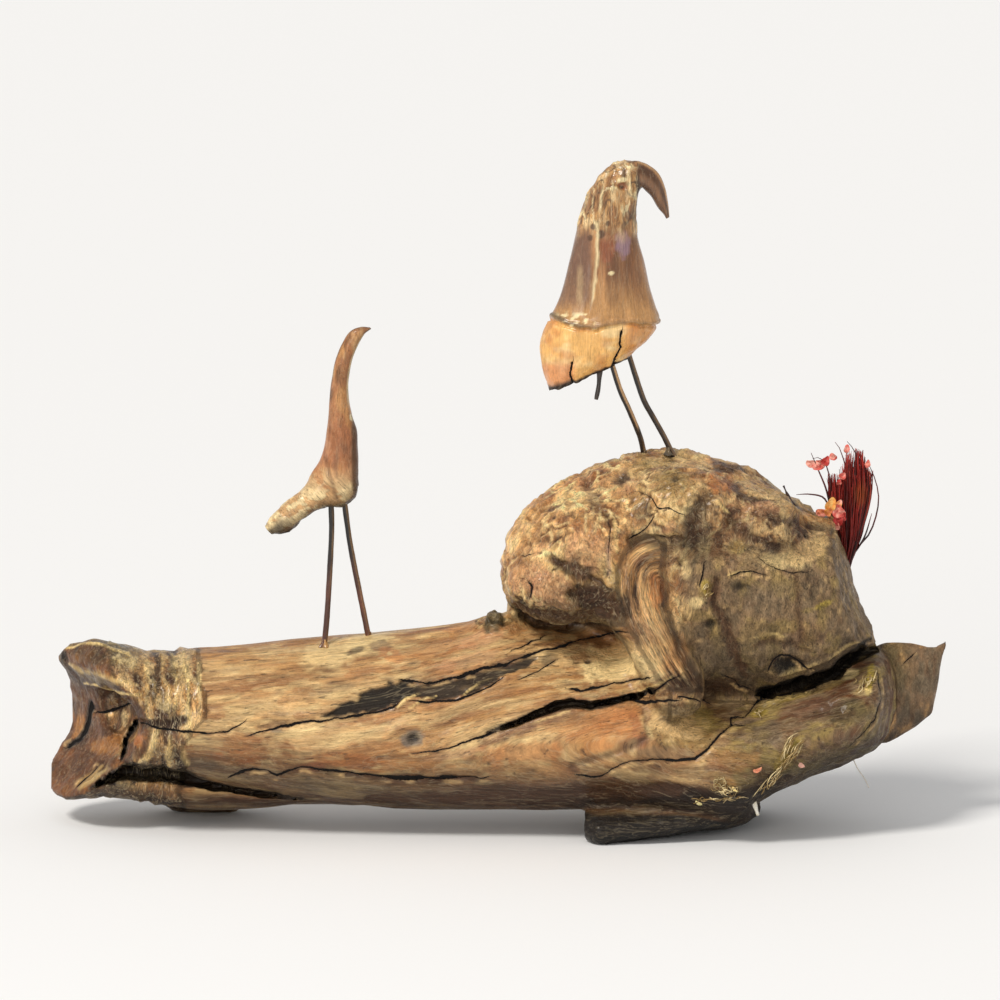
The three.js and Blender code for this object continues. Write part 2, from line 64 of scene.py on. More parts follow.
# Size of the grid that the wood is meshed on, and how many faces it keeps.
CELL = 0.8
MOST_FACES = 190000

# Limbs of the driftwood. A row is one section: [x, lowest z, highest z, nearest y, furthest y].
TRUNK = [
    [-158, 8.5, 60.5, -20, 29],
    [-147, 8.2, 62.0, -21, 29.5],
    [-138, 9.5, 63.2, -22, 29],
    [-129, 13.0, 62.4, -23, 27.5],
    [-118, 17.4, 59.6, -22.5, 24.5],
    [-101, 15.8, 61.0, -24, 24],
    [-84, 13.0, 62.3, -25.5, 25.5],
    [-67, 10.1, 64.0, -27, 27],
    [-34, 6.4, 67.1, -29, 29],
    [0, 5.6, 71.2, -31, 31],
    [17, 5.4, 70.1, -32, 32],
    [34, 5.8, 66.6, -33, 33],
    [51, 6.3, 59.6, -33, 33],
    [64, 7.4, 45.2, -29, 33],
    [74, 14, 34.4, -22, 30],
]
FORK = [
    [47, 7.5, 43.5, -26, 18],
    [64, 5.8, 44.4, -33, 21],
    [81, 4.9, 44.6, -36, 24],
    [89, 11.0, 45.3, -35, 25],
    [101, 16.4, 49.0, -32, 26],
    [118, 22.1, 56.9, -26, 26],
    [127, 26.5, 60.3, -21, 23],
    [131, 31.1, 58.0, -12, 16],
    [133.5, 38, 52, -4, 10],
]
FIN = [
    [110, 29, 46, 7, 17],
    [116, 21.6, 53.5, 4.5, 19.5],
    [121.5, 23.3, 57.5, 4, 20],
    [126.5, 25, 60, 4, 20],
    [132.9, 27.1, 60.5, 5.5, 18.5],
    [137, 29.3, 60.5, 6, 18],
    [140, 31.2, 60, 6.5, 17.5],
    [143.5, 34, 59.2, 7.5, 16.5],
    [146.1, 36.9, 58.9, 8.6, 15.4],
    [147.4, 44.5, 59.3, 9.4, 14.6],
    [149.1, 54.6, 60.2, 10.6, 13.4],
    [150.9, 60.2, 61.3, 11.4, 12.6],
]
CROWN = [
    [1, 84.3, 93.1, -7, 1],
    [2, 78.6, 98.8, -13, 7],
    [5, 76.0, 104.7, -19, 13],
    [10, 74.3, 111.0, -24, 20],
    [18, 72.9, 116.8, -26, 27],
    [30, 69.5, 122.4, -28, 34],
    [44, 60.7, 126.9, -29, 38],
    [57, 46.8, 128.4, -29, 40],
    [71, 41.6, 126.0, -29, 40],
    [84, 41.6, 122.0, -29, 39],
    [98, 43.2, 112.0, -28, 38],
    [106, 45.9, 107.2, -27, 36],
    [113, 50.5, 104.0, -25, 35],
    [117, 55.6, 89.4, -22, 33],
    [121, 58.9, 75.7, -18, 30],
    [126, 62.9, 66.5, -9, 23],
]
FOOT = [
    [29, 0.5, 8.2, -27, -17],
    [33, -1.2, 9.1, -32, -14],
    [40, -1.0, 9.2, -31, -10],
    [48, -0.2, 9.2, -30, -6],
    [58, 1.0, 10.0, -28, -2],
    [68, 2.0, 10.5, -26, 4],
    [81, 2.8, 10.6, -18, 10],
    [87, 4.3, 8.2, -8, 8],
]
BELLY = [
    [-138, 13.0, 17.0, 0, 8],
    [-131, 10.0, 20.0, -6, 18],
    [-118, 7.5, 20.0, -8, 20],
    [-105, 5.2, 19.0, -8, 20],
    [-92, 4.7, 18.5, -8, 20],
    [-80, 5.2, 17.5, -8, 20],
    [-67, 7.2, 15.0, -6, 16],
    [-50, 8.0, 14.0, -4, 12],
]
BACK_ROOT = [
    [-124, 12.0, 24.0, 18, 28],
    [-112, 1.0, 30.0, 15, 31],
    [-100, -1.2, 32.0, 14, 32],
    [-88, 0.5, 30.0, 14, 31],
    [-76, 10.0, 26.0, 16, 28],
]
HEEL = [
    [52, 6, 14, 18, 26],
    [60, 0.2, 22, 12, 33],
    [72, -1.0, 26, 10, 35],
    [84, 0.2, 24, 10, 32],
    [92, 8, 18, 14, 26],
]
# Lumps standing proud of the limbs: [centre x, y, z, radius x, y, z].
LUMPS = [
    [21, -20, 88, 18.5, 15, 14.5],
    [33.5, -20, 103, 19.5, 14.5, 14.5],
    [62, -18, 112, 20, 16, 15],
    [87, -14, 106.3, 15, 16, 12.4],
    [45, -27, 84, 11, 9, 14],
    [53, -29, 70, 10, 8, 14],
    [60, -30, 55, 9.5, 8, 12],
    [56, -14, 56, 14, 14, 12],
    [-1, -4, 68, 6, 7, 6],
]
BLEND = 7  # how softly the limbs grow into each other

# The broken left end: a row of the profile is a height and how far the broken face stands out there.
BREAK_RIM = (-118.5, -23)
BREAK_NORMAL = (-0.885, -0.465)
BREAK_PROFILE = [
    [2, 14.5],
    [10, 14],
    [14, 11.5],
    [20, 6],
    [28, 0.4],
    [36, -0.6],
    [44, 0.8],
    [49, 3.6],
    [53, 6.4],
    [57, 6.8],
    [61, 4],
    [66, -2],
]
THROAT_CENTRE = (-130.5, -4, 38.5)
THROAT_RADIUS = (8, 15, 9.5)

# Clefts that are cut into the front of the wood: points [s, t, half width] and how deep they go.
CLEFTS = {
    "fork_crack": (
        [[87.4, 44.2, 0.7], [88.8, 44.5, 1.3], [92.1, 45.4, 1.2], [95.5, 46.2, 1.6], [99.6, 47.1, 1.4],
         [102.4, 48.2, 1.5], [106.5, 49.4, 1.2], [109.6, 50.2, 1.3], [113.2, 51.9, 1.7],
         [115.4, 54.6, 1.7], [120.6, 57.4, 1.3], [123.4, 58.4, 1], [127.5, 59.6, 0.4]], 20),
    "fork_crack_branch": ([[119.8, 56.6, 0.9], [122, 59.6, 0.7], [125, 63.4, 0.4]], 6),
    "long_crack": (
        [[-4, 31.4, 0.3], [-1.4, 32.3, 0.6], [3.7, 34.3, 0.8], [8.9, 36.2, 1], [14.1, 38.2, 1.1],
         [19.2, 40.3, 1.3], [24.4, 41.2, 1.4], [28.8, 41.2, 1.2], [31.1, 40.4, 1.1], [34.7, 41.2, 1.1],
         [39.9, 42.4, 0.9], [45, 43.7, 0.9], [50.2, 45.1, 0.4]], 10),
    "belly_groove": (
        [[-138, 12.4, 0.4], [-131, 15.6, 1.9], [-125.4, 18.2, 3], [-119, 17.6, 2.8], [-113, 17.6, 2.6],
         [-107, 16.4, 2.5], [-101.6, 14.8, 1.8], [-96, 13.3, 1.1], [-90.2, 12.2, 0.8],
         [-82.6, 11, 0.8], [-75, 10, 0.7], [-66, 8.7, 0.4]], 6),
    "end_slot": (
        [[-138, 41.6, 0.6], [-138.2, 39, 1], [-138.6, 36, 0.9], [-139.7, 31.8, 1.1],
         [-141.8, 29, 1], [-145, 27, 0.7]], 4),
    "collar_gap": (
        [[-122.4, 35, 0.7], [-124, 32, 0.9], [-125.6, 29.4, 0.8], [-126.3, 25.4, 0.6],
         [-127.4, 22.4, 0.4]], 4),
}

# Thin cracks on the front: points [s, t, half width] and how dark they are.
CRACKS = {
    "left": (
        [[-121.2, 34.6, 0.35], [-115, 32.8, 0.3], [-104, 31.8, 0.28], [-98.5, 30.8, 0.36],
         [-91.6, 31.8, 0.32], [-88.1, 33.5, 0.2], [-85.4, 35.2, 0.1]], 1.0),
    "patch_edge": (
        [[-84.7, 30.1, 0.15], [-77.1, 32.5, 0.3], [-71.6, 33.9, 0.5], [-66.1, 34.9, 0.45],
         [-59.9, 35.6, 0.25], [-55.8, 36.5, 0.35], [-48.2, 37.5, 0.45], [-40, 38.7, 0.5],
         [-35.9, 40.1, 0.5], [-33.4, 42.6, 0.2]], 1.0),
    "patch_top": (
        [[-33, 49.4, 0.3], [-25, 48.6, 0.4], [-19.6, 49.6, 0.5], [-14, 50.6, 0.5], [-8, 52.8, 0.5],
         [-2.6, 54.7, 0.5], [2, 55.6, 0.4], [7.4, 57, 0.45], [15.9, 59.8, 0.3], [22.1, 61.3, 0.4],
         [27.5, 63.7, 0.35], [32.9, 64.4, 0.45], [42.2, 64.8, 0.2]], 0.95),
    "patch_foot": (
        [[-30, 42.2, 0.2], [-25.8, 41.9, 0.4], [-14.2, 42.8, 0.4], [-8, 45.1, 0.4], [-2.6, 47.8, 0.4],
         [1, 50.4, 0.2]], 0.9),
    "shelf_a": ([[4, 59.2, 0.15], [10.5, 62.5, 0.25], [15.9, 64.8, 0.15]], 0.9),
    "shelf_b": ([[6.8, 49.9, 0.12], [12.6, 52.6, 0.2], [18.7, 56, 0.15]], 0.7),
    "shelf_c": (
        [[23.7, 46.3, 0.25], [27.5, 45.5, 0.5], [31.4, 46.7, 0.6], [34.5, 47.6, 0.45],
         [37.6, 48.2, 0.25], [43.8, 49.4, 0.4], [46.9, 49, 0.35], [50, 49.8, 0.2]], 0.85),
    "long_left": (
        [[-29, 24.4, 0.12], [-18.1, 25.8, 0.2], [-11.1, 28.5, 0.28], [-6.5, 30, 0.36],
         [-2, 31.4, 0.6]], 1.0),
    "long_right": (
        [[49, 44.8, 0.5], [52.7, 46.3, 0.4], [55.8, 48, 0.32], [60.4, 50.8, 0.2]], 0.95),
    "long_branch": (
        [[45, 43.3, 0.5], [49.1, 41.9, 0.5], [54.6, 41.7, 0.42], [60, 41.7, 0.2]], 1.0),
    "long_branch_right": ([[60, 43.1, 0.3], [63.6, 42.8, 0.36], [67.2, 42.3, 0.2], [71, 41.2, 0.1]], 0.9),
    "loop": (
        [[26, 17.3, 0.15], [30.6, 16.1, 0.3], [34.5, 16.5, 0.35], [39.1, 19.6, 0.3],
         [43.8, 21.5, 0.35], [48.4, 21.9, 0.45], [57.7, 22.3, 0.45], [65.4, 22.7, 0.45],
         [70, 26.6, 0.4], [74.7, 32, 0.36], [77.8, 35.1, 0.4], [77.7, 37, 0.35], [82.4, 37.6, 0.3],
         [85.5, 41.3, 0.36], [88.6, 43.6, 0.3]], 1.0),
    "loop_twig": ([[77.7, 35, 0.25], [82.4, 34.7, 0.15]], 0.9),
    "lower": (
        [[-90.9, 16.3, 0.2], [-86.8, 17.4, 0.45], [-82.6, 18.5, 0.45], [-78.5, 18.1, 0.3],
         [-75.1, 16.5, 0.5], [-70.9, 18.4, 0.4], [-66.1, 19.1, 0.3], [-60.6, 18.4, 0.35],
         [-55.1, 17.9, 0.45], [-50, 17.2, 0.5]], 0.85),
    "lower_crevice": (
        [[-52, 17.3, 0.3], [-48.2, 16.9, 0.5], [-42, 16.1, 0.6], [-35.2, 15.5, 0.65], [-27, 15.2, 0.62],
         [-18, 15.1, 0.5], [-11, 15.4, 0.36], [-4, 16, 0.2]], 1.0),
    "end_crack": ([[-136.1, 38.2, 0.5], [-130.9, 38.4, 0.6], [-125.7, 40.4, 0.6]], 0.9),
    "end_slot_line": (
        [[-138, 41.2, 0.4], [-138.4, 36, 0.75], [-139.7, 31.8, 0.7], [-141.8, 29, 0.6],
         [-145.4, 26.8, 0.4]], 1.0),
    "collar_gap_line": (
        [[-122, 35.4, 0.4], [-124, 32, 0.6], [-125.6, 29.4, 0.5], [-126.3, 25.4, 0.45],
         [-127.4, 22.4, 0.25]], 1.0),
    "lip_crack": ([[-135.7, 19.5, 0.35], [-139, 16.6, 0.4], [-142.4, 13.2, 0.3]], 0.8),
    "top_lobe": (
        [[45.2, 113.5, 0.15], [49, 112, 0.22], [51.2, 110.4, 0.25], [53, 107.4, 0.3],
         [57.2, 106.8, 0.25], [61.4, 104.7, 0.2]], 0.6),
    "brow": ([[45, 97.2, 0.5], [47, 98.2, 0.4], [48.8, 99.6, 0.3], [51.8, 104.4, 0.15]], 0.7),
    "cheek": ([[53.6, 97.5, 0.25], [56.6, 96.6, 0.3], [60.2, 96.9, 0.2]], 0.7),
    "fold": ([[36.2, 105, 0.15], [37.4, 100.8, 0.25], [36.9, 94.8, 0.2], [36.5, 90, 0.15]], 0.6),
    "nick": ([[9, 82.4, 0.3], [10.8, 80.2, 0.6], [10.2, 77.2, 0.35]], 0.7),
    "nose_crease": ([[7, 92, 0.15], [9.8, 92, 0.2]], 0.7),
    "block_line": ([[68.9, 88, 0.2], [68.2, 84.6, 0.3], [67.2, 81.4, 0.2]], 0.8),
    "band_edge": (
        [[87, 90.3, 0.1], [89.7, 88, 0.16], [94, 86.2, 0.2], [98.3, 85.1, 0.24], [104.2, 86.2, 0.1]], 0.75),
    "lip": ([[77.8, 84.2, 0.2], [81, 85.5, 0.3], [85, 85.6, 0.2], [89.6, 84.5, 0.12]], 0.75),
    "pit_edge": (
        [[90.6, 52.6, 0.3], [92, 55.2, 0.4], [94.6, 57, 0.45], [97.4, 57, 0.35], [99.6, 54.9, 0.4],
         [105.1, 52, 0.3]], 0.8),
    "block_foot": ([[76, 50, 0.2], [80.6, 46.6, 0.3], [84, 45.2, 0.2]], 0.7),
    "fin_root": (
        [[118.4, 27, 0.2], [123, 31.6, 0.25], [127, 36, 0.3], [129, 43, 0.3], [127.6, 52, 0.2]], 0.5),
    "fin_nick": ([[136.5, 55, 0.15], [139.4, 57.6, 0.25]], 0.8),
}

# Soft folds on the front: points [s, t, half width], how deep, and how dark their painted shade is.
FOLDS = {
    "under_brow": ([[26, 78.4, 2], [31, 77, 3.2], [36, 74.6, 3.6], [40, 71.4, 2.4]], 2.4, 0.8),
    "under_nose": ([[5.6, 74.6, 1], [8, 71.8, 1.3], [13, 69.8, 1.5], [22, 69, 1.8], [36, 70, 2]], 1.4, 0.8),
    "eye_slit": (
        [[16.5, 91.4, 0.4], [19.5, 89.2, 0.9], [22.5, 87.8, 1.2], [26, 86.2, 1.4], [30, 84, 1.3],
         [33.5, 81.6, 0.9], [37, 80, 0.5]], 1.8, 0.8),
    "lower_crevice": (
        [[-52, 17, 0.5], [-42, 15.8, 1], [-30, 15, 1.3], [-18, 14.9, 1.2], [-8, 15.4, 0.8]], 0.9, 0.75),
    "burl_valley": ([[70.5, 112, 1.6], [66.9, 106.8, 2.4], [65.6, 101, 2.6], [65, 94.8, 2]], 2.2, 0.5),
    "burl_valley_right": ([[77.7, 106, 1.4], [80.7, 100, 2], [84, 97, 1.4]], 1.2, 0.5),
    "lobe_valley": ([[28, 118, 1.4], [33, 109, 2], [37, 103, 1.6]], 1.0, 0.4),
    "brow_shadow": ([[45.5, 96.4, 1.6], [52, 95.6, 1.8], [60, 95, 1.6]], 1.2, 0.45),
    "shoulder": ([[87, 106, 1.2], [97, 103, 1.8], [106, 101.4, 1.6], [113, 99, 0.8]], 1.2, 0.5),
    "shoulder_low": ([[84, 97, 1], [92, 94.4, 1.2], [100, 94.8, 1]], 0.8, 0.4),
    "neck_root": ([[55, 74, 1.4], [58, 66, 1.6], [62, 58, 1.8], [66, 50, 1.6]], 1.2, 0.35),
    "recess": ([[50, 45, 1], [58, 47, 2.4], [68, 46.8, 2.8], [78, 45, 2]], 1.2, 0.55),
    "tongue": ([[24, 20.4, 0.8], [36, 23.4, 1.1], [44, 26.4, 1.2], [49, 29.4, 0.8]], 0.8, 0.35),
    "plate_edge": ([[47, 42, 0.5], [49, 36, 0.5], [50.4, 30, 0.5]], 0.4, 0.4),
    "fork_shade": ([[104, 38, 1.6], [112, 40, 2.6], [118, 38, 1.8]], 0.9, 0.45),
    "collar_dark": (
        [[-120.5, 34.4, 0.9], [-116, 33.9, 1.3], [-112, 34.2, 1], [-106.4, 35.4, 1.2]], 0.9, 0.9),
    "collar_valley": ([[-115.4, 56.4, 0.7], [-114.8, 50, 0.9], [-112.6, 43.4, 0.7]], 0.7, 0.6),
    "lip_under": ([[-137, 39.6, 0.8], [-131, 39.4, 1.3], [-126, 41.2, 1]], 0.8, 0.6),
    "block_crease": (
        [[73.6, 84, 0.8], [72.4, 76, 1.2], [75.2, 68, 1.4], [79.2, 58, 1.4], [83, 49.6, 1]], 1.4, 0.75),
    "block_crease_right": ([[99.4, 84, 0.8], [100.6, 72, 1.2], [101.8, 62, 1]], 0.8, 0.5),
    "block_crease_low": ([[86, 60.6, 0.8], [92, 62.6, 1], [98, 61, 1], [104, 58.6, 0.8]], 0.8, 0.5),
    "log_base": (
        [[-44, 8.2, 1.2], [-10, 9, 2], [20, 10.2, 2.4], [46, 11.6, 2.2], [62, 12.2, 1.4]], 0.9, 0.8),
}

# Raised lines on the front: points [s, t, half width], how high, and how bright their painted highlight is.
RIDGES = {
    "upper_rim": (
        [[-147, 59.6, 0.5], [-140, 61.2, 0.5], [-133.3, 60.9, 0.6], [-128.5, 59.7, 0.7],
         [-124.6, 58.1, 0.7], [-122.8, 55.4, 0.5]], 0.5, 0.9),
    "facet_line": (
        [[-144.6, 54.4, 0.6], [-140.5, 51.9, 0.8], [-136, 51, 0.6], [-128, 48.8, 0.8],
         [-122, 47.6, 0.6]], 0.4, 0.5),
    "lower_facet_line": (
        [[-139.9, 48, 0.35], [-136.1, 47.6, 0.4], [-130.9, 46.1, 0.45], [-126.1, 44.5, 0.4],
         [-120.8, 44.3, 0.4]], 0.4, 1.0),
    "collar_a": (
        [[-119, 56, 0.7], [-118.2, 48.5, 0.7], [-118.6, 42.2, 0.8], [-117.6, 36.6, 0.7]], 0.6, 0.55),
    "collar_b": (
        [[-113.6, 57.8, 0.6], [-112.6, 50, 0.8], [-110.4, 45.3, 0.7], [-111.6, 39, 0.8]], 0.6, 0.45),
    "collar_c": (
        [[-110.3, 58.4, 0.6], [-108.7, 51.7, 0.6], [-108.4, 44, 0.7], [-109.6, 37, 0.8]], 0.6, 0.6),
    "collar_d": (
        [[-106.3, 58.4, 0.5], [-105.1, 47.7, 0.5], [-104.3, 41.8, 0.6], [-104.4, 33.8, 0.5],
         [-104.4, 27.9, 0.5]], 0.6, 0.95),
    "collar_e": ([[-101.9, 59, 0.4], [-101, 53.7, 0.45], [-101.5, 42.2, 0.35]], 0.5, 0.8),
    "finger_a": ([[-115, 32.6, 0.9], [-116.1, 28, 1.1], [-118.4, 23, 1.2]], 1.0, 0.6),
    "finger_b": ([[-121.6, 27.4, 0.8], [-122, 24, 1], [-123, 22, 0.7]], 0.8, 0.4),
    "finger_c": ([[-110.6, 30, 0.9], [-111, 25, 1.2], [-111.4, 20.8, 1]], 1.0, 0.5),
    "finger_d": ([[-106.6, 27, 0.9], [-106, 22.6, 1.1], [-105, 20.4, 0.8]], 0.9, 0.4),
    "end_rim": (
        [[-123.4, 33.8, 0.6], [-127.4, 24.6, 0.7], [-133, 18.4, 0.8], [-141, 12.4, 0.8]], 0.5, 0.45),
    "patch_splinter_a": ([[-34, 40.2, 0.4], [-31.4, 43, 0.6], [-27.4, 45, 0.3]], 0.9, 0.9),
    "patch_splinter_b": ([[-30, 40, 0.4], [-26.6, 42.6, 0.5], [-21, 44, 0.3]], 0.8, 0.7),
    "patch_splinter_c": ([[-12, 44.6, 0.3], [-7, 48.6, 0.5], [-2, 50.6, 0.3]], 0.6, 0.7),
    "brow_light": ([[73.4, 109.6, 0.6], [76, 107, 0.7], [77.4, 105.4, 0.4]], 0.8, 0.9),
    "lip_light": ([[77, 84.4, 0.4], [80.4, 85.6, 0.5], [84, 85.6, 0.45]], 0.7, 0.7),
    "top_lobe_edge": ([[44, 115, 0.6], [50, 113.4, 0.8], [54.4, 109.4, 0.7], [60, 107.4, 0.7]], 0.7, 0.45),
    "fold_edge": ([[38.6, 104.6, 0.5], [39, 98, 0.7], [39.4, 92, 0.5]], 0.6, 0.6),
    "eye_lip": ([[16, 86.6, 0.6], [21, 84.6, 0.8], [26, 82, 0.8]], 0.7, 0.3),
    "fork_moss": ([[89, 41.6, 0.7], [96, 43.6, 0.7], [104, 45.2, 0.6]], 0.3, 0.5),
    "block_foot_edge": ([[94, 50, 0.5], [104, 53, 0.7], [113, 57, 0.7], [121, 62, 0.5]], 0.8, 0.35),
    "block_chip": ([[86, 63.6, 0.4], [91, 64.4, 0.5], [96, 63.6, 0.4]], 0.7, 0.6),
    "shelf_edge": ([[47, 45.4, 0.5], [53, 47.6, 0.6], [58, 50.4, 0.5]], 0.5, 0.6),
    "long_lip": ([[9, 34, 0.4], [16, 36.6, 0.5], [24, 39, 0.4]], 0.4, 0.5),
}

# Round hollows on the front: [s, t, radius s, radius t, depth, how dark], the dark partly their own colour
# and partly painted shade.
PITS = [
    [-29.1, 29.5, 2.6, 1.9, 1.3, 0.75],
    [29.8, 55.8, 1.5, 0.9, 1.1, 0.8],
    [26, 55.4, 1.3, 0.5, 0.5, 0.6],
    [32.2, 51.3, 0.6, 0.5, 0.5, 0.6],
    [37.2, 61.3, 0.5, 0.4, 0.5, 0.6],
    [27.8, 25.4, 0.9, 0.7, 0.6, 0.6],
    [-3.6, 20.5, 0.9, 0.5, 0.6, 0.7],
    [4.9, 17.4, 0.6, 0.4, 0.5, 0.6],
    [70.9, 67.6, 2.2, 2.0, 1.6, 0.75],
    [97.4, 53.6, 5.2, 2.4, 2.0, 0.5],
    [26.6, 80.6, 1.2, 1.1, 1.0, 0.8],
    [12.6, 96.6, 0.8, 0.7, 0.7, 0.7],
    [13.7, 92.0, 0.9, 0.6, 0.6, 0.6],
    [17.6, 104.4, 0.8, 0.6, 0.6, 0.6],
    [41.5, 117.4, 3.0, 1.6, 0.8, 0.55],
    [58.8, 117.6, 1.6, 1.2, 0.8, 0.6],
    [55.0, 110.0, 1.2, 1.0, 0.8, 0.6],
    [66.0, 88.6, 1.2, 0.9, 0.8, 0.5],
    [82.0, 80.6, 3.4, 1.3, 1.0, 0.55],
    [104.0, 97.8, 1.0, 0.8, 0.8, 0.6],
    [92, 66, 3.4, 2.6, 1.0, 0.25],
]

COLOURS = {
    "tan": (214, 170, 116),
    "pale_tan": (236, 202, 148),
    "golden": (200, 150, 92),
    "brown": (150, 104, 64),
    "dark_brown": (84, 56, 36),
    "near_black": (24, 19, 16),
    "charred": (60, 50, 40),
    "grey_brown": (134, 112, 86),
    "grey": (112, 98, 80),
    "olive": (158, 138, 86),
    "olive_dark": (78, 70, 44),
    "purple_brown": (118, 86, 68),
    "orange": (196, 120, 62),
    "warm_tan": (196, 138, 84),
    "pink_tan": (206, 156, 120),
    "moss": (184, 164, 72),
    # the pale colour of the painted highlights on the ridges
    "glue": (244, 218, 154),
    "foot_black": (30, 25, 22),
    "fin": (132, 108, 84),
    "blue_grey": (96, 98, 100),
    "cream": (246, 224, 170),
    "amber": (238, 182, 104),
    "salmon": (224, 150, 98),
    "violet": (150, 120, 136),
    "red_brown": (150, 82, 48),
    "cave": (36, 26, 20),
    "umber": (100, 62, 32),
}
